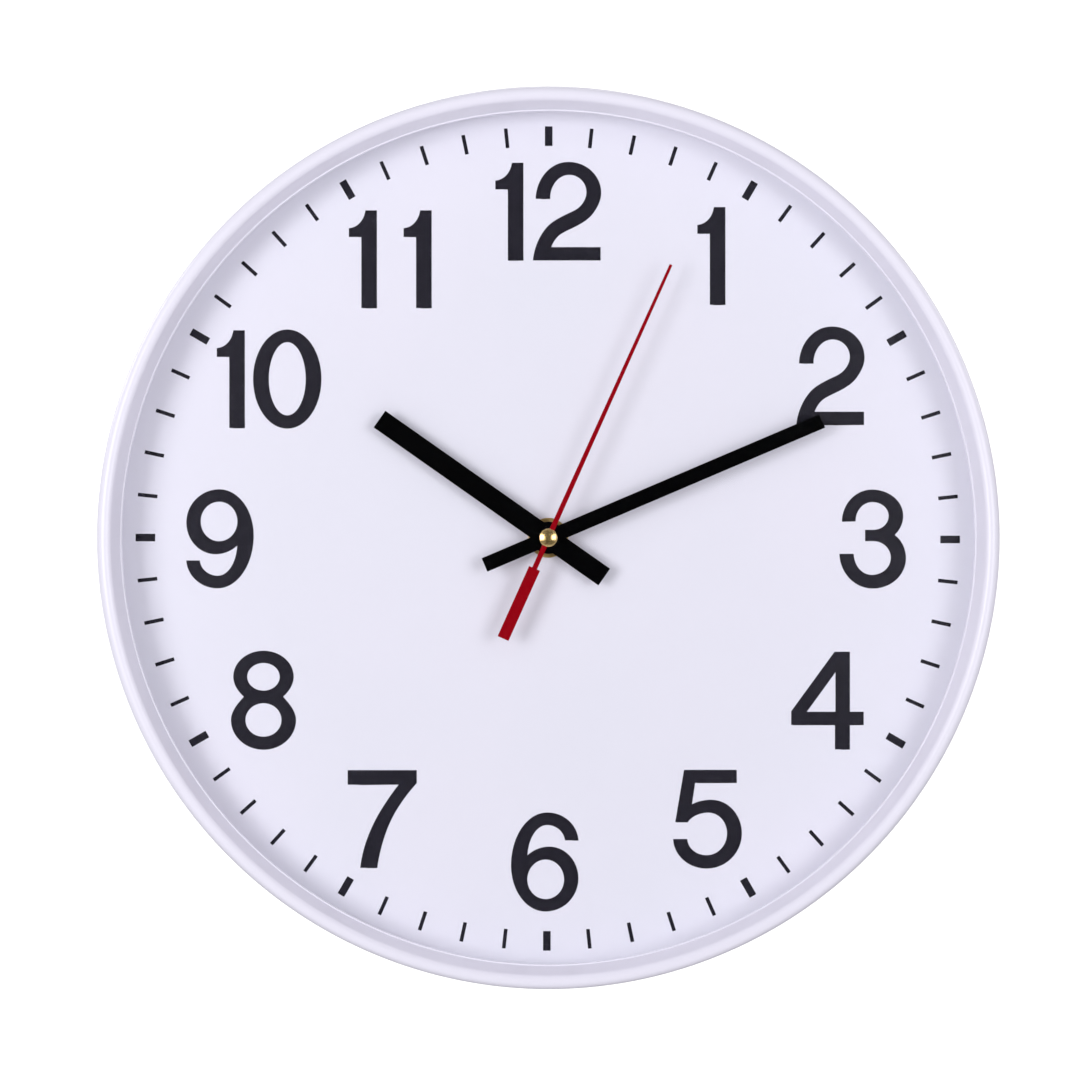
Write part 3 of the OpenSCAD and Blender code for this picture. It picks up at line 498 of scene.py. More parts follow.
def arc(centre, radius, first, last, steps):
    """Points on an arc, from one angle in degrees to another."""
    turns = [math.radians(first + (last - first) * i / steps) for i in range(steps + 1)]
    return [(centre[0] + radius * math.cos(t), centre[1] + radius * math.sin(t)) for t in turns]


def circle(radius, points):
    """Points all round the axis, for a hole."""
    return arc((0, 0), radius, 0, 360 - 360 / points, points - 1)


def turned(section, steps, ring=True):
    """Spins a section of (radius, height) points once round the axis; ring joins its ends."""
    bm = bmesh.new()
    verts = [bm.verts.new((r, 0, z)) for r, z in section]
    pairs = zip(verts, verts[1:] + verts[:1]) if ring else zip(verts, verts[1:])
    edges = [bm.edges.new(pair) for pair in pairs]
    bmesh.ops.spin(bm, geom=verts + edges, cent=(0, 0, 0), axis=(0, 0, 1), dvec=(0, 0, 0),
                   angle=2 * math.pi, steps=steps, use_merge=True)
    bmesh.ops.remove_doubles(bm, verts=bm.verts, dist=1e-7)
    bmesh.ops.recalc_face_normals(bm, faces=bm.faces)
    return bm


def ease(bm, width, segments=2, chosen=None):
    """Rounds the edges of a shape that turn by more than 40 degrees, or only the chosen ones of them."""
    edges = [e for e in bm.edges if len(e.link_faces) == 2
             and e.calc_face_angle(0) > math.radians(40) and (chosen is None or chosen(e))]
    bmesh.ops.bevel(bm, geom=edges, offset=width, offset_type="OFFSET", segments=segments, profile=0.5,
                    affect="EDGES", clamp_overlap=True, material=-1)
    return bm


def draw_loop(bm, points, height):
    """A closed line through points at one height: its vertices and its edges."""
    verts = [bm.verts.new((x, y, height)) for x, y in points]
    return verts, [bm.edges.new(pair) for pair in zip(verts, verts[1:] + verts[:1])]


def extruded(made, kind):
    """The vertices, or the edges, among what an extrusion made."""
    return [part for part in made["geom"] if isinstance(part, kind)]


def plate(loops, low, high, edge=0.0):
    """A flat plate between two heights, with an outline and holes; edge eases its corners."""
    bm = bmesh.new()
    edges = []
    for loop in loops:
        edges += draw_loop(bm, loop, low)[1]
    bmesh.ops.triangle_fill(bm, use_beauty=True, use_dissolve=False, edges=edges, normal=(0, 0, 1))
    grown = bmesh.ops.extrude_face_region(bm, geom=list(bm.faces))
    shift(bm, 0, 0, high - low, verts=extruded(grown, bmesh.types.BMVert))
    bmesh.ops.recalc_face_normals(bm, faces=bm.faces)
    return ease(bm, edge) if edge else bm


def disc(radius, hole, heights, steps, edge, segments):
    """A round flat piece between two heights, with its hole, if any, and its edges eased."""
    low, high = heights
    section = [(hole, low), (radius, low), (radius, high), (hole, high)]
    return ease(turned(section, steps, ring=hole > 0), edge, segments)


def join(shapes):
    """Several shapes in one."""
    whole = bmesh.new()
    for bm in shapes:
        held = bpy.data.meshes.new("held")
        bm.to_mesh(held)
        bm.free()
        whole.from_mesh(held)
        bpy.data.meshes.remove(held)
    return whole


def eased_copy(node, name, slot, width, body="clock_body"):
    """A CAD solid again, with its moulded corners rounded."""
    bm = bmesh.new()
    bm.from_mesh(frame["nodes"][node].data)
    bmesh.ops.remove_doubles(bm, verts=bm.verts, dist=1e-6)
    bmesh.ops.dissolve_limit(bm, angle_limit=math.radians(1), use_dissolve_boundaries=False,
                             verts=bm.verts, edges=bm.edges)
    ease(bm, width)
    bm.transform(UPRIGHT.inverted())
    add_piece(name, bm, slot, body, [node])


# ---------------------------------------------------------------- case and dial


class CLOCK_OT_bezel(bpy.types.Operator):
    """The bezel moulding: leaning skirt, round crest, steep inner slope and rounded lip"""

    bl_idname = "clock.bezel"
    bl_label = "Bezel"

    def execute(self, context):
        sizes = context.scene.clock_sizes
        back, front = reach("bezel")
        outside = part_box("bezel")[1].x
        skirt_lean, skirt_wall, seat_wall, crest_wall = 0.6 * MM, 2.2 * MM, 1.0 * MM, 3.5 * MM
        lens_room, pan_overlap, foot_edge = 0.2 * MM, 1.5 * MM, 0.25 * MM
        lens_front = reach("lens")[1]
        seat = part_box("lens")[1].x + lens_room
        flange = reach("back_pan")[1] - pan_overlap
        foot = Vector((sizes.lip_radius + sizes.ledge, lens_front + sizes.lip_thickness))
        top = outside - sizes.crest_outside
        crest_middle = Vector((top, front - sizes.crest_inside))
        # The slope leaves the crest where a line from the foot touches its round.
        run = foot - crest_middle
        touch = math.degrees(math.atan2(run.y, run.x)) % 360
        touch -= math.degrees(math.acos(sizes.crest_inside / run.length))
        nose = sizes.lip_thickness / 4
        section = [(outside - skirt_lean, back)]
        section += arc((top, front - sizes.crest_outside), sizes.crest_outside, 0, 90, 10)
        section += arc(crest_middle, sizes.crest_inside, 90, touch, 12)[1:]
        section += [tuple(foot)]
        section += arc((sizes.lip_radius + nose, foot.y - nose), nose, 90, 180, 5)
        section += arc((sizes.lip_radius + nose, lens_front + nose), nose, 180, 270, 3)
        section += [(seat, lens_front), (seat, flange), (seat + seat_wall, flange),
                    (seat + seat_wall, front - crest_wall), (outside - skirt_wall, front - crest_wall),
                    (outside - skirt_wall, back)]
        bm = turned(section, BEZEL_STEPS)
        ease(bm, foot_edge, chosen=lambda e: all(v.co.z < back + 0.01 * MM for v in e.verts))
        add_piece("bezel_moulding", bm, "white_abs", instead_of=["bezel"])
        return {"FINISHED"}


class CLOCK_OT_lens(bpy.types.Operator):
    """The flat glass under the bezel's lip, with its arrised edge"""

    bl_idname = "clock.lens"
    bl_label = "Lens"

    def execute(self, context):
        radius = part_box("lens")[1].x
        bm = disc(radius, 0, reach("lens"), DISC_STEPS, 0.25 * MM, 1)
        add_piece("lens_pane", bm, "clear_lens", instead_of=["lens"])
        return {"FINISHED"}


class CLOCK_OT_dial(bpy.types.Operator):
    """The dial card with its centre hole"""

    bl_idname = "clock.dial"
    bl_label = "Dial card"

    def execute(self, context):
        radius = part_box("dial")[1].x
        bm = disc(radius, BUSHING_HOLE, reach("dial"), DISC_STEPS, 0.08 * MM, 1)
        add_piece("dial_card", bm, "dial_sheet", instead_of=["dial"])
        return {"FINISHED"}


# Outlines of the ten figures in units of their height, from the left end of the baseline. A point is a
# corner (x, y), or has the ways, in degrees, in which the line comes in and goes out there; None is straight.
FIGURES = {
    "0": [[(0.349, 1.009, 180, 180), (0, 0.502, 270, 270), (0.349, -0.007, 0, 0), (0.698, 0.502, 90, 90)],
          [(0.349, 0.885, 180, 180), (0.155, 0.502, 270, 270), (0.349, 0.123, 0, 0), (0.543, 0.502, 90, 90)]],
    "1": [[(0.129, 0), (0.282, 0), (0.282, 1), (0.170, 1, None, 262), (0, 0.817, 184, None), (0, 0.734),
           (0.129, 0.734)]],
    "2": [[(0.170, 0.635), (0.028, 0.635, None, 88), (0.363, 1.009, 0, 0), (0.697, 0.695, 270, 270),
           (0.612, 0.481, 233, 233), (0.446, 0.355, 208, 208), (0.264, 0.257, 221, 221),
           (0.182, 0.130, 252, None), (0.691, 0.130), (0.691, 0), (0, 0, None, 84), (0.138, 0.331, 50, 50),
           (0.328, 0.462, 27, 27), (0.485, 0.552, 46, 46), (0.552, 0.700, 90, 90), (0.370, 0.882, 180, 180),
           (0.170, 0.635, 270, None)]],
    "3": [[(0.160, 0.684), (0.025, 0.684, None, 88), (0.332, 1.006, 0, 0), (0.651, 0.740, 270, 270),
           (0.561, 0.541, 222, 325), (0.679, 0.300, 270, 270), (0.340, -0.008, 180, 180),
           (0, 0.343, 92, None), (0.141, 0.343, None, 272), (0.330, 0.126, 0, 0), (0.530, 0.305, 90, 90),
           (0.347, 0.481, 180, None), (0.265, 0.481), (0.265, 0.591), (0.347, 0.591, None, 0),
           (0.508, 0.737, 90, 90), (0.335, 0.884, 180, 180), (0.160, 0.684, 270, None)]],
    "4": [[(0.445, 1), (0.598, 1), (0.598, 0.381), (0.740, 0.381), (0.740, 0.253), (0.598, 0.253),
           (0.598, 0), (0.451, 0), (0.451, 0.253), (0, 0.253), (0, 0.389)],
          [(0.456, 0.801), (0.456, 0.381), (0.151, 0.381)]],
    "5": [[(0.112, 1), (0.649, 1), (0.649, 0.874), (0.221, 0.874), (0.187, 0.643, None, 28),
           (0.391, 0.692, 0, 0), (0.702, 0.350, 270, 270), (0.341, -0.011, 180, 180), (0, 0.287, 93, None),
           (0.139, 0.287, None, 275), (0.341, 0.120, 0, 0), (0.556, 0.350, 90, 90), (0.360, 0.566, 180, 180),
           (0.145, 0.469, 232, None), (0.023, 0.469)]],
    "6": [[(0.556, 0.725), (0.688, 0.725, None, 94), (0.370, 1.006, 180, 180), (0, 0.464, 270, 270),
           (0.351, -0.009, 0, 0), (0.688, 0.330, 90, 90), (0.391, 0.654, 180, 180),
           (0.163, 0.562, 222, 88), (0.367, 0.883, 0, 0), (0.556, 0.725, 278, None)],
          [(0.354, 0.527, 180, 180), (0.161, 0.318, 270, 270), (0.354, 0.113, 0, 0), (0.547, 0.318, 90, 90)]],
    "7": [[(0, 1), (0.705, 1), (0.705, 0.871, None, 228), (0.424, 0.453, 246, 246), (0.298, 0, 262, None),
           (0.130, 0, None, 84), (0.285, 0.489, 63, 63), (0.529, 0.857, 50, None), (0, 0.857)]],
    "8": [[(0.530, 0.537, 132, 42), (0.640, 0.744, 90, 90), (0.332, 1.007, 180, 180),
           (0.024, 0.744, 270, 270), (0.134, 0.537, 318, 228), (0, 0.296, 270, 270), (0.332, -0.007, 0, 0),
           (0.664, 0.296, 90, 90)],
          [(0.332, 0.888, 180, 180), (0.161, 0.742, 270, 270), (0.332, 0.596, 0, 0), (0.503, 0.742, 90, 90)],
          [(0.332, 0.473, 180, 180), (0.143, 0.296, 270, 270), (0.332, 0.121, 0, 0), (0.521, 0.296, 90, 90)]],
}
FIGURES["9"] = [[(0.688 - x, 1 - y, *[None if w is None else (w + 180) % 360 for w in ways])
                 for x, y, *ways in loop] for loop in FIGURES["6"]]

# Where the second figure of a number starts, in units of its height
SECOND_FIGURE = {"10": 0.374, "11": 0.564, "12": 0.387}

# Where the middle of each number lies on the dial, in mm to the right of the axis and above it: the artwork
# was set by eye and not by compass, so the numbers stray a little from one circle
NUMBER_PLACES = {
    1: (54.8, 94.7), 2: (94.8, 54.3), 3: (109.0, -0.4), 4: (93.8, -54.7), 5: (53.5, -94.4), 6: (-1.2, -108.9),
    7: (-55.8, -94.5), 8: (-95.7, -54.6), 9: (-110.3, -0.4), 10: (-93.8, 53.3), 11: (-53.1, 93.6),
    12: (0.0, 109.6),
}


def heading(degrees, chord):
    """The way in which a line leaves or reaches a point: the one given, or straight along the chord."""
    if degrees is None:
        return chord.normalized()
    return Vector((math.cos(math.radians(degrees)), math.sin(math.radians(degrees))))


def curve_figure(figure):
    """One printed figure as a thin solid, drawn with curves in units of its height."""
    curve = bpy.data.curves.new("figure", "CURVE")
    curve.dimensions, curve.fill_mode, curve.extrude, curve.resolution_u = "2D", "BOTH", 0.5, 12
    for loop in FIGURES[figure]:
        points = [(Vector(p[:2]), *(p[2:] or (None, None))) for p in loop]
        if (points[0][0] - points[-1][0]).length < 1e-6:
            last = points.pop()
            points[0] = (points[0][0], last[1], points[0][2])
        spline = curve.splines.new("BEZIER")
        spline.bezier_points.add(len(points) - 1)
        spline.use_cyclic_u = True
        for here, (place, _, way_out), (beyond, way_in, _) in zip(
                range(len(points)), points, points[1:] + points[:1]):
            chord = beyond - place
            ahead, back = heading(way_out, chord), heading(way_in, chord)
            # Handles of a third of the chord draw a straight line, and these longer ones a round arc.
            turn = ahead.angle(back)
            share = 1 / 3 if turn < 0.02 else 4 / 3 * math.tan(turn / 4) / max(math.sin(turn), 0.3)
            least = 0.1 * chord.length
            first, second = spline.bezier_points[here], spline.bezier_points[(here + 1) % len(points)]
            first.co = (*place, 0)
            first.handle_left_type = first.handle_right_type = second.handle_left_type = "FREE"
            first.handle_right = (*(place + ahead * share * max(chord.dot(ahead), least)), 0)
            second.handle_left = (*(beyond - back * share * max(chord.dot(back), least)), 0)
    drawn = bpy.data.objects.new("figure", curve)
    bpy.context.scene.collection.objects.link(drawn)
    bpy.context.view_layer.update()
    held = bpy.data.meshes.new_from_object(drawn.evaluated_get(bpy.context.evaluated_depsgraph_get()))
    bm = bmesh.new()
    bm.from_mesh(held)
    bmesh.ops.remove_doubles(bm, verts=bm.verts, dist=1e-5)
    bpy.data.objects.remove(drawn)
    bpy.data.curves.remove(curve)
    bpy.data.meshes.remove(held)
    return bm


def swell(bm, by):
    """Moves the upright sides of a flat shape outwards."""
    bmesh.ops.recalc_face_normals(bm, faces=bm.faces)
    moves = []
    for v in bm.verts:
        sides = [f.normal.copy() for f in v.link_faces if abs(f.normal.z) < 0.5 and f.calc_area() > 0]
        if sides:
            way = sum(sides, Vector()).normalized()
            moves.append((v, way * by / max(way.dot(sides[0]), 0.5)))
    for v, move in moves:
        v.co += move


class CLOCK_OT_numbers(bpy.types.Operator):
    """The twelve printed numbers of the dial"""

    bl_idname = "clock.numbers"
    bl_label = "Numbers"

    def execute(self, context):
        sizes = context.scene.clock_sizes
        ink_middle = reach("dial")[1] + 0.5 * sizes.ink
        for hour, (right, up) in NUMBER_PLACES.items():
            number = str(hour)
            bm = join([shift(curve_figure(figure), SECOND_FIGURE.get(number, 0) * i, 0, 0)
                       for i, figure in enumerate(number)])
            spread = [v.co.x for v in bm.verts]
            shift(bm, -(min(spread) + max(spread)) / 2, -0.5, 0)
            resize(bm, sizes.number_height, sizes.number_height, sizes.ink)
            swell(bm, sizes.ink_spread)
            shift(bm, right * MM, up * MM, ink_middle)
            add_piece(f"number_{hour:02d}", bm, "dial_sheet", crease=20, finish_of="dial_ink")
        return {"FINISHED"}


class CLOCK_OT_marks(bpy.types.Operator):
    """The sixty printed minute marks, the twelve at the hours wider"""

    bl_idname = "clock.marks"
    bl_label = "Minute marks"

    def execute(self, context):
        sizes = context.scene.clock_sizes
        ink_middle = reach("dial")[1] + 0.5 * sizes.ink
        length = sizes.mark_outside - sizes.mark_inside
        shapes = {"hour_marks": [], "minute_marks": []}
        for minute in range(60):
            name = "minute_marks" if minute % 5 else "hour_marks"
            width = sizes.minute_mark if minute % 5 else sizes.hour_mark
            bm = bmesh.new()
            bmesh.ops.create_cube(bm, size=1)
            resize(bm, width, length, sizes.ink)
            ease(bm, 0.06 * MM, 1, lambda e: abs(e.verts[0].co.z - e.verts[1].co.z) > sizes.ink / 2)
            shift(bm, 0, sizes.mark_inside + length / 2, ink_middle)
            clockwise(bm, math.radians(6 * minute) + sizes.ring_turn)
            shapes[name].append(shift(bm, *sizes.ring_shift, 0))
        for name, marks in shapes.items():
            add_piece(name, join(marks), "dial_sheet", crease=20, finish_of="dial_ink")
        return {"FINISHED"}


class CLOCK_OT_centre(bpy.types.Operator):
    """The brass washer on the dial, with its eased rim"""

    bl_idname = "clock.centre"
    bl_label = "Brass washer"

    def execute(self, context):
        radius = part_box("brass_washer")[1].x
        bm = disc(radius, BUSHING_HOLE, reach("brass_washer"), SMALL_STEPS, 0.15 * MM, 2)
        add_piece("washer_on_dial", bm, "brass", instead_of=["brass_washer"])
        return {"FINISHED"}


# ---------------------------------------------------------------- hands

# Rounding that the press leaves on the edges of the black hands
STAMPED_EDGE = 0.07 * MM


def bar_outline(length, tail, width, hub):
    """A straight bar with square ends and a round hub, pointing to twelve."""
    half = width / 2
    side = math.degrees(math.acos(half / hub))
    points = [(-half, -tail), (half, -tail)]
    points += arc((0, 0), hub, -side, side, 24)
    points += [(half, length), (-half, length)]
    points += arc((0, 0), hub, 180 - side, 180 + side, 24)
    return points


class CLOCK_OT_hour_hand(bpy.types.Operator):
    """The black hour hand, stamped from sheet"""

    bl_idname = "clock.hour_hand"
    bl_label = "Hour hand"

    def execute(self, context):
        hands = context.scene.clock_hands
        outline = bar_outline(hands.hour_length, hands.hour_tail, hands.hour_width, hands.hour_hub)
        tube_hole = circle(2.56 * MM, 48)
        bm = plate([outline, tube_hole], *reach("hour_hand"), STAMPED_EDGE)
        clockwise(bm, hands.hour_angle)
        add_piece("hour_hand_sheet", bm, "black_hand", "hour", ["hour_hand"])
        return {"FINISHED"}


class CLOCK_OT_minute_hand(bpy.types.Operator):
    """The black minute hand, stamped from sheet, with the flats of its hole"""

    bl_idname = "clock.minute_hand"
    bl_label = "Minute hand"

    def execute(self, context):
        hands = context.scene.clock_hands
        outline = bar_outline(hands.minute_length, hands.minute_tail, hands.minute_width, hands.minute_hub)
        hole_radius, flat_distance = 1.61 * MM, 1.36 * MM
        flat = math.degrees(math.acos(flat_distance / hole_radius))
        hole = arc((0, 0), hole_radius, flat, 180 - flat, 12)
        hole += arc((0, 0), hole_radius, 180 + flat, 360 - flat, 12)
        bm = plate([outline, hole], *reach("minute_hand"), STAMPED_EDGE)
        clockwise(bm, hands.minute_angle)
        add_piece("minute_hand_sheet", bm, "black_hand", "minute", ["minute_hand"])
        return {"FINISHED"}


class CLOCK_OT_second_hand(bpy.types.Operator):
    """The red second hand: tapered needle, narrow stem and flat counterweight, with its pressed boss"""

    bl_idname = "clock.second_hand"
    bl_label = "Second hand"

    def execute(self, context):
        hands = context.scene.clock_hands
        back, front = reach("second_hand")
        sheet_thickness, cap_overhang = 0.35 * MM, 0.6 * MM
        low = front - sheet_thickness
        hub = hands.cap_radius - cap_overhang
        root, tip, half = hands.needle_root / 2, hands.needle_tip / 2, hands.weight_width / 2
        side = math.degrees(math.acos(root / hub))
        outline = [(-half, -hands.second_tail), (half, -hands.second_tail), (half, -hands.weight_start),
                   (root, -hands.weight_start)]
        outline += arc((0, 0), hub, -side, side, 16)
        outline += [(tip, hands.second_length), (-tip, hands.second_length)]
        outline += arc((0, 0), hub, 180 - side, 180 + side, 16)
        outline += [(-root, -hands.weight_start), (-half, -hands.weight_start)]
        sheet = plate([outline, circle(ARBOR_HOLE, 24)], low, front, 0.05 * MM)
        boss_radius, boss_top = 1.3 * MM, low + 0.02 * MM
        boss = turned([(ARBOR_HOLE, back), (boss_radius, back), (boss_radius, boss_top),
                       (ARBOR_HOLE, boss_top)], steps=48)
        bm = join([sheet, ease(boss, 0.08 * MM)])
        clockwise(bm, hands.second_angle)
        add_piece("second_hand_sheet", bm, "red_hand", "second", ["second_hand"])
        return {"FINISHED"}


class CLOCK_OT_cap(bpy.types.Operator):
    """The domed cap on the second hand's arbor, with the small step round its foot"""

    bl_idname = "clock.cap"
    bl_label = "Cap"

    def execute(self, context):
        low, high = reach("second_hand_cap")
        radius = context.scene.clock_hands.cap_radius
        crown, edge = context.scene.clock_hands.cap_crown, 0.3 * MM
        ball = (radius ** 2 + crown ** 2) / (2 * crown)
        centre = (0, high - ball)
        height = centre[1] + math.sqrt((ball - edge) ** 2 - (radius - edge) ** 2)
        turn = math.degrees(math.atan2(height - centre[1], radius - edge))
        dome = arc((radius - edge, height), edge, 0, turn, 5) + arc(centre, ball, turn, 90, 20)[1:-1]
        step_width, step_height, roof = 0.1 * MM, 0.08 * MM, 0.4 * MM
        section = [(ARBOR_HOLE, low), (radius - step_width, low), (radius, low + step_height), *dome,
                   (0, high), (0, high - roof), (ARBOR_HOLE, high - roof)]
        add_piece("cap_dome", turned(section, SMALL_STEPS), "gold_brass", "second", ["second_hand_cap"])
        return {"FINISHED"}


# ---------------------------------------------------------------- rear

# The small screws of the pan and of the hanger: radii of head and shank, and height of the head
HEAD_RADIUS = 1.5 * MM
SHANK_RADIUS = 0.75 * MM
HEAD_HEIGHT = 1.2 * MM


def cross_screw(rear, tip):
    """A screw seen from behind: a domed head with a cross recess, then its shank towards the front."""
    bm = bmesh.new()
    crown = HEAD_RADIUS * 0.86
    rim = bmesh.ops.create_circle(bm, cap_ends=False, segments=32, radius=crown)["verts"]
    shift(bm, 0, 0, rear, verts=rim)
    edges = list(bm.edges)
    arm, half = HEAD_RADIUS * 0.62, HEAD_RADIUS * 0.16
    cross, sides = draw_loop(bm, [
        (half, arm), (half, half), (arm, half), (arm, -half), (half, -half), (half, -arm),
        (-half, -arm), (-half, -half), (-arm, -half), (-arm, half), (-half, half), (-half, arm)], rear)
    bmesh.ops.triangle_fill(bm, use_beauty=True, use_dissolve=False, edges=edges + sides, normal=(0, 0, -1))
    sunk = extruded(bmesh.ops.extrude_face_region(bm, geom=[bm.faces.new(cross)]), bmesh.types.BMVert)
    shift(bm, 0, 0, 0.55 * HEAD_HEIGHT, verts=sunk)
    resize(bm, 0.55, 0.55, 1, verts=sunk)
    loose = [f for f in bm.faces if all(v in cross for v in f.verts)]
    bmesh.ops.delete(bm, geom=loose, context="FACES_ONLY")
    ring = [e for e in bm.edges if len(e.link_faces) == 1 and all(v in rim for v in e.verts)]
    for factor, height in ((HEAD_RADIUS / crown, rear + 0.35 * HEAD_HEIGHT), (1, rear + HEAD_HEIGHT),
                           (SHANK_RADIUS / HEAD_RADIUS, rear + HEAD_HEIGHT), (1, tip)):
        made = bmesh.ops.extrude_edge_only(bm, edges=ring)
        verts, ring = extruded(made, bmesh.types.BMVert), extruded(made, bmesh.types.BMEdge)
        shift(bm, 0, 0, height - verts[0].co.z, verts=verts)
        resize(bm, factor, factor, 1, verts=verts)
    bmesh.ops.contextual_create(bm, geom=ring)
    bmesh.ops.recalc_face_normals(bm, faces=bm.faces)
    return bm


class CLOCK_OT_screws(bpy.types.Operator):
    """The six screws of the pan and the two of the hanger, each with its cross at another angle"""

    bl_idname = "clock.screws"
    bl_label = "Screws"

    def execute(self, context):
        ring = 146.2 * MM
        shapes = []
        for i in range(6):
            turn = math.radians(60 * (i + 0.5))
            bm = clockwise(cross_screw(*reach("pan_screws")), -0.7 * i)
            shapes.append(shift(bm, ring * math.cos(turn), ring * math.sin(turn), 0))
        add_piece("pan_screw_set", join(shapes), "zinc_steel", instead_of=["pan_screws"])
        low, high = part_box("hanger_screws")
        shapes = []
        for i, x in enumerate((low.x + HEAD_RADIUS, high.x - HEAD_RADIUS)):
            bm = clockwise(cross_screw(*reach("hanger_screws")), -0.4 - i)
            shapes.append(shift(bm, x, (low.z + high.z) / 2, 0))
        add_piece("hanger_screw_pair", join(shapes), "zinc_steel", instead_of=["hanger_screws"])
        return {"FINISHED"}


class CLOCK_OT_battery(bpy.types.Operator):
    """The round cell: film shrunk over a steel can, the film's turned-in ends, and both poles"""

    bl_idname = "clock.battery"
    bl_label = "Battery"

    def execute(self, context):
        low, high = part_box("battery")
        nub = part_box("battery_terminal")[1].x
        centre = middle("battery")
        radius = (high.z - low.z) / 2
        start, end = low.x, high.x
        fold = 0.9 * MM
        lie = Matrix.Translation((0, centre.y, centre.z)) @ Matrix.Rotation(math.radians(90), 4, "Y")
        film = [(0.62 * radius, start)]
        film += arc((radius - fold, start + fold), fold, 270, 360, 6)
        film += arc((radius - fold, end - fold), fold, 0, 90, 6)
        film += [(0.78 * radius, end), (0.76 * radius, end - 0.15 * MM), (0.76 * radius, start + 0.4 * MM),
                 (0.6 * radius, start + 0.15 * MM)]
        bm = turned(film, SMALL_STEPS)
        bm.transform(lie)
        add_piece("battery_film", bm, "battery_jacket", "battery", ["battery"])
        steel = [(0, start + 0.1 * MM), (0.5 * radius, start + 0.1 * MM), (0.55 * radius, start + 0.3 * MM),
                 (0.76 * radius, start + 0.3 * MM), (0.76 * radius, end - 0.25 * MM),
                 (0.42 * radius, end - 0.15 * MM), (0.38 * radius, end), (0.37 * radius, nub - 0.3 * MM),
                 (0.33 * radius, nub), (0, nub)]
        bm = turned(steel, SMALL_STEPS, ring=False)
        bm.transform(lie)
        add_piece("battery_can", bm, "spring_steel", "battery", ["battery_terminal"])
        return {"FINISHED"}


class CLOCK_OT_eased_mouldings(bpy.types.Operator):
    """The pan, the movement's case and cover, the knob and the hanger plate with their corners rounded"""

    bl_idname = "clock.eased_mouldings"
    bl_label = "Rear mouldings"

    def execute(self, context):
        eased_copy("back_pan", "pan_moulding", "pan_plastic", 0.3 * MM)
        eased_copy("movement_front_case", "movement_case_moulding", "movement_plastic", 0.25 * MM)
        eased_copy("movement_back_cover", "movement_cover_moulding", "movement_plastic", 0.2 * MM)
        eased_copy("hanger_plate", "hanger_plate_pressing", "zinc_steel", 0.15 * MM)
        eased_copy("setting_knob", "setting_knob_moulding", "gear_plastic", 0.12 * MM, "setting")
        return {"FINISHED"}


class CLOCK_OT_moulded_signs(bpy.types.Operator):
    """Raised signs on the movement's cover: plus and minus beside the battery, and arrows round the knob"""

    bl_idname = "clock.moulded_signs"
    bl_label = "Moulded signs"

    def execute(self, context):
        surface = reach("movement_back_cover")[0]
        raised, sunk = surface - 0.4 * MM, surface + 0.05 * MM
        low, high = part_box("movement_back_cover")
        row, arm, stroke = low.z + 4.5 * MM, 2 * MM, 0.35 * MM
        shapes = []
        # A plus, of two bars, and a minus, of one
        for x, bars in ((high.x - 8 * MM, [(arm, stroke), (stroke, arm)]), (low.x + 8 * MM, [(arm, stroke)])):
            for wide, tall in bars:
                loop = [(x - wide, row - tall), (x + wide, row - tall), (x + wide, row + tall),
                        (x - wide, row + tall)]
                shapes.append(plate([loop], raised, sunk, 0.08 * MM))
        knob = middle("setting_knob")[:2]
        # Each arrow is a curved stroke whose head runs out over two barbs to its point.
        track, barb = 7.6 * MM, 1.1 * MM
        for half_way in (90, 270):
            tail, neck, point = half_way - 35, half_way + 30, half_way + 43
            outline = arc(knob, track + stroke, tail, neck, 16)
            outline += arc(knob, track + barb, neck, neck + 0.1, 1)
            outline += arc(knob, track, point, point + 0.1, 1)
            outline += arc(knob, track - barb, neck + 0.1, neck, 1)
            outline += arc(knob, track - stroke, neck, tail, 16)
            shapes.append(plate([outline], raised, sunk))
        add_piece("moulded_signs", join(shapes), "movement_plastic")
        return {"FINISHED"}


class CLOCK_OT_finishes(bpy.types.Operator):
    """Gives every CAD solid that is kept its finish"""

    bl_idname = "clock.finishes"
    bl_label = "Finishes of the CAD solids"

    def execute(self, context):
        slots = {part["node"]: part["material_slot"] for part in frame["record"]["subparts"]}
        for name, node in frame["nodes"].items():
            node.data.materials.clear()
            node.data.materials.append(finish(slots[name]))
        return {"FINISHED"}


# ---------------------------------------------------------------- stage

# Each soft box: its angles in degrees aside of the clock's axis and above it, and its watts
LAMPS = {
    "lamp_left": (-33.5, 3, 8.7), "lamp_right": (29, 3, 5.4), "lamp_beside_left": (-105, 25, 6),
    "lamp_beside_right": (105, 25, 4), "lamp_above_behind": (180, 60, 1.8),
}
LAMP_DISTANCE, LAMP_WIDTH, LAMP_HEIGHT = 1500 * MM, 540 * MM, 600 * MM

# The camera looks straight ahead from a little left of the axis and below it.
CAMERA_PLACE = (-2.78 * MM, -1619.6 * MM, -0.75 * MM)
FOCAL_LENGTH, FILM_WIDTH = 160.49, 36


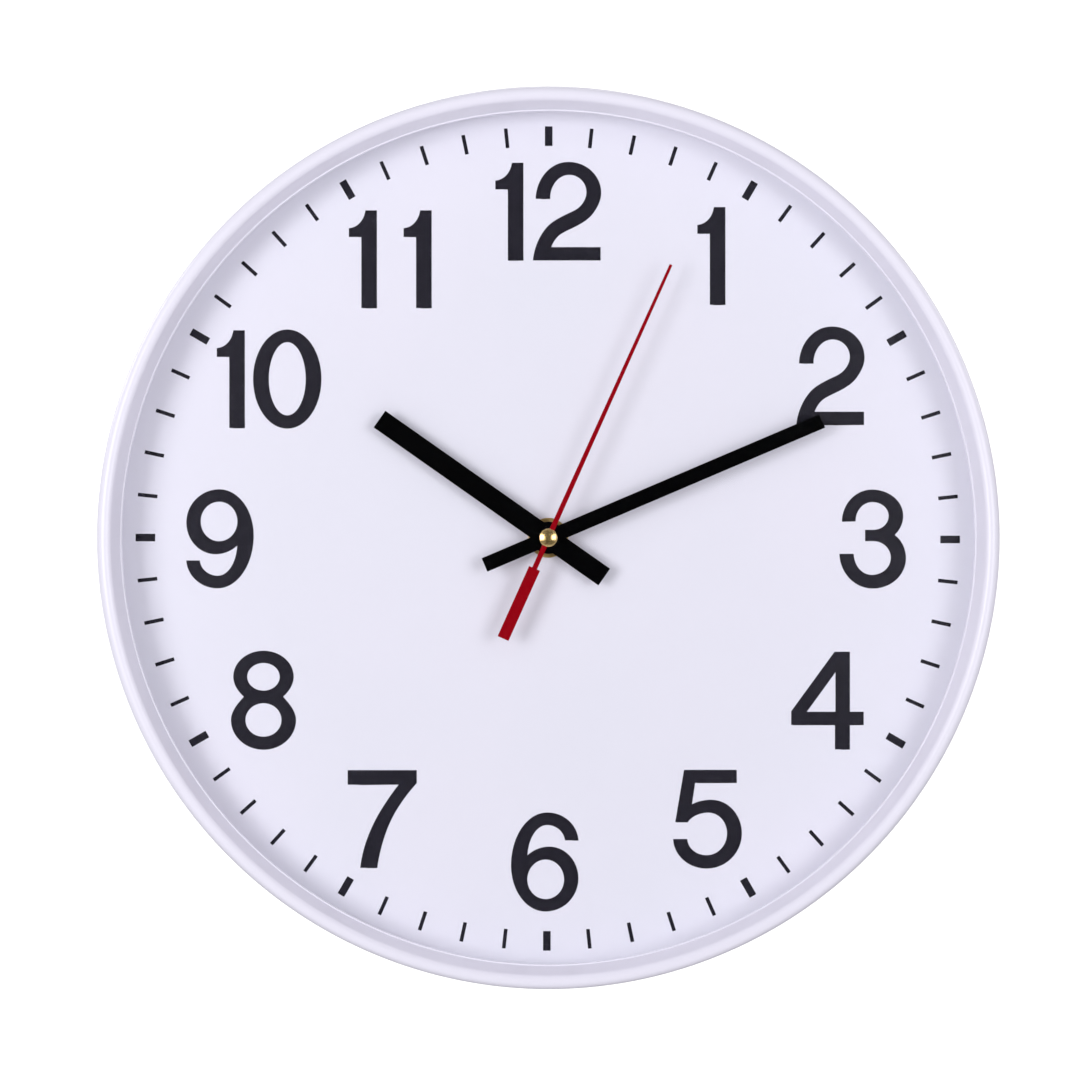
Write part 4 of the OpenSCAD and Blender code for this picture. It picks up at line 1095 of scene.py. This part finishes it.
class CLOCK_OT_stage(bpy.types.Operator):
    """The floor, the white surroundings, the lamps and the camera straight in front"""

    bl_idname = "clock.stage"
    bl_label = "Stage"

    def execute(self, context):
        scene = context.scene
        self.add_floor(scene)
        self.add_surroundings(scene)
        for name, (aside, above, watts) in LAMPS.items():
            self.add_lamp(scene, name, aside, above, watts)
        lens = bpy.data.cameras.new("camera")
        lens.lens, lens.sensor_width = FOCAL_LENGTH, FILM_WIDTH
        camera = bpy.data.objects.new("camera", lens)
        camera.location = CAMERA_PLACE
        camera.rotation_euler = (math.radians(90), 0, 0)
        scene.collection.objects.link(camera)
        scene.camera = camera
        scene.view_settings.view_transform = "Standard"
        return {"FINISHED"}

    def add_floor(self, scene):
        """A pale floor below the clock: white to the eye, paler in gloss than it lights, and darker only
        in the clock's shadow."""
        half_side, below = 400 * MM, 150 * MM
        bm = bmesh.new()
        bmesh.ops.create_grid(bm, x_segments=1, y_segments=1, size=half_side)
        shift(bm, 0, 0, CAD_BOX[0].z - below)
        mesh = bpy.data.meshes.new("floor")
        bm.to_mesh(mesh)
        bm.free()
        material, tree, shader, _ = start_finish("floor_pale_matt", {
            "Base Color": (*linear("#B8B8B8"), 1), "Roughness": 0.9, "Emission Color": (1, 1, 1, 1)})
        path = add_node(tree, "ShaderNodeLightPath")
        sheen = add_node(tree, "ShaderNodeMath", {"operation": "MULTIPLY", 1: 0.3},
                         {0: path.outputs["Is Glossy Ray"]})
        lift = add_node(tree, "ShaderNodeMath", {"operation": "MULTIPLY_ADD", 1: 0.86},
                        {0: path.outputs["Is Camera Ray"], 2: sheen.outputs[0]})
        tree.links.new(lift.outputs[0], shader.inputs["Emission Strength"])
        mesh.materials.append(material)
        floor = bpy.data.objects.new("floor", mesh)
        scene.collection.objects.link(floor)

    def add_surroundings(self, scene):
        """White where it is seen, directly, in metal or through glass, and dim where it only lights. The
        side that the clock faces stays dark in reflections, as a studio's camera side does."""
        world = bpy.data.worlds.new("studio")
        scene.world = world
        world.use_nodes = True
        tree = world.node_tree
        tree.nodes.clear()
        path = add_node(tree, "ShaderNodeLightPath")
        way = add_node(tree, "ShaderNodeTexCoord")
        # Y of the way in which a ray goes is -1 in front of the clock and 1 behind it.
        parts = add_node(tree, "ShaderNodeSeparateXYZ", links={"Vector": way.outputs["Generated"]})
        backward = parts.outputs["Y"]
        behind = add_node(tree, "ShaderNodeMapRange", {"From Min": -0.9, "From Max": -0.2},
                          {"Value": backward})
        seen = add_node(tree, "ShaderNodeMath", {"operation": "MAXIMUM"},
                        {0: path.outputs["Is Glossy Ray"], 1: path.outputs["Is Transmission Ray"]})
        # The light that is not seen fades out towards the sides and is a little stronger from behind.
        squared = add_node(tree, "ShaderNodeMath", {"operation": "MULTIPLY"}, {0: backward, 1: backward})
        side = add_node(tree, "ShaderNodeMapRange",
                        {"From Min": -0.05, "From Max": 0.05, "To Min": 1.14, "To Max": 1.35},
                        {"Value": backward})
        soft = add_node(tree, "ShaderNodeMath", {"operation": "MULTIPLY"},
                        {0: squared.outputs[0], 1: side.outputs[0]})
        lit = add_node(tree, "ShaderNodeMix", {"data_type": "FLOAT"},
                       {0: seen.outputs[0], 2: soft.outputs[0], 3: behind.outputs[0]})
        strength = add_node(tree, "ShaderNodeMath", {"operation": "MAXIMUM"},
                            {0: path.outputs["Is Camera Ray"], 1: lit.outputs[0]})
        shine = add_node(tree, "ShaderNodeBackground", {"Color": (1, 1, 1, 1)},
                         {"Strength": strength.outputs[0]})
        add_node(tree, "ShaderNodeOutputWorld", links={"Surface": shine.outputs[0]})

    def add_lamp(self, scene, name, aside, above, watts):
        """A soft box that lights the clock from its angles aside of and above the axis."""
        light = bpy.data.lights.new(name, "AREA")
        light.shape, light.size, light.size_y = "RECTANGLE", LAMP_WIDTH, LAMP_HEIGHT
        light.energy = watts
        lamp = bpy.data.objects.new(name, light)
        turn = Matrix.Rotation(math.radians(aside), 4, "Z") @ Matrix.Rotation(math.radians(-above), 4, "X")
        lamp.location = turn @ Vector((0, -LAMP_DISTANCE, 0))
        lamp.rotation_euler = (-lamp.location).to_track_quat("-Z", "Y").to_euler()
        scene.collection.objects.link(lamp)


OPERATORS = [
    CLOCK_OT_bezel, CLOCK_OT_lens, CLOCK_OT_dial, CLOCK_OT_numbers, CLOCK_OT_marks, CLOCK_OT_centre,
    CLOCK_OT_hour_hand, CLOCK_OT_minute_hand, CLOCK_OT_second_hand, CLOCK_OT_cap, CLOCK_OT_screws,
    CLOCK_OT_battery, CLOCK_OT_eased_mouldings, CLOCK_OT_moulded_signs, CLOCK_OT_finishes, CLOCK_OT_stage,
]


class VIEW3D_PT_wall_clock(bpy.types.Panel):
    """Sizes, colours and building steps of the wall clock"""

    bl_label = "Wall Clock"
    bl_idname = "VIEW3D_PT_wall_clock"
    bl_space_type = "VIEW_3D"
    bl_region_type = "UI"
    bl_category = "Wall Clock"

    def draw(self, context):
        scene = context.scene
        for title, group in (("Case and print", scene.clock_sizes), ("Hands", scene.clock_hands),
                             ("Colours", scene.clock_colours)):
            box = self.layout.box()
            box.label(text=title)
            for key in group.__annotations__:
                box.prop(group, key)
        for operator in OPERATORS:
            self.layout.operator(operator.bl_idname, text=operator.bl_label)


CLASSES = [ClockSizes, HandSizes, ClockColours, *OPERATORS, VIEW3D_PT_wall_clock]


def register():
    for cls in CLASSES:
        bpy.utils.register_class(cls)
    bpy.types.Scene.clock_sizes = bpy.props.PointerProperty(type=ClockSizes)
    bpy.types.Scene.clock_hands = bpy.props.PointerProperty(type=HandSizes)
    bpy.types.Scene.clock_colours = bpy.props.PointerProperty(type=ClockColours)


def unregister():
    del bpy.types.Scene.clock_colours
    del bpy.types.Scene.clock_hands
    del bpy.types.Scene.clock_sizes
    for cls in reversed(CLASSES):
        bpy.utils.unregister_class(cls)


def main():
    register()
    for operator in OPERATORS:
        group, name = operator.bl_idname.split(".")
        getattr(getattr(bpy.ops, group), name)()
    bpy.context.view_layer.update()


if __name__ == "__main__":
    main()
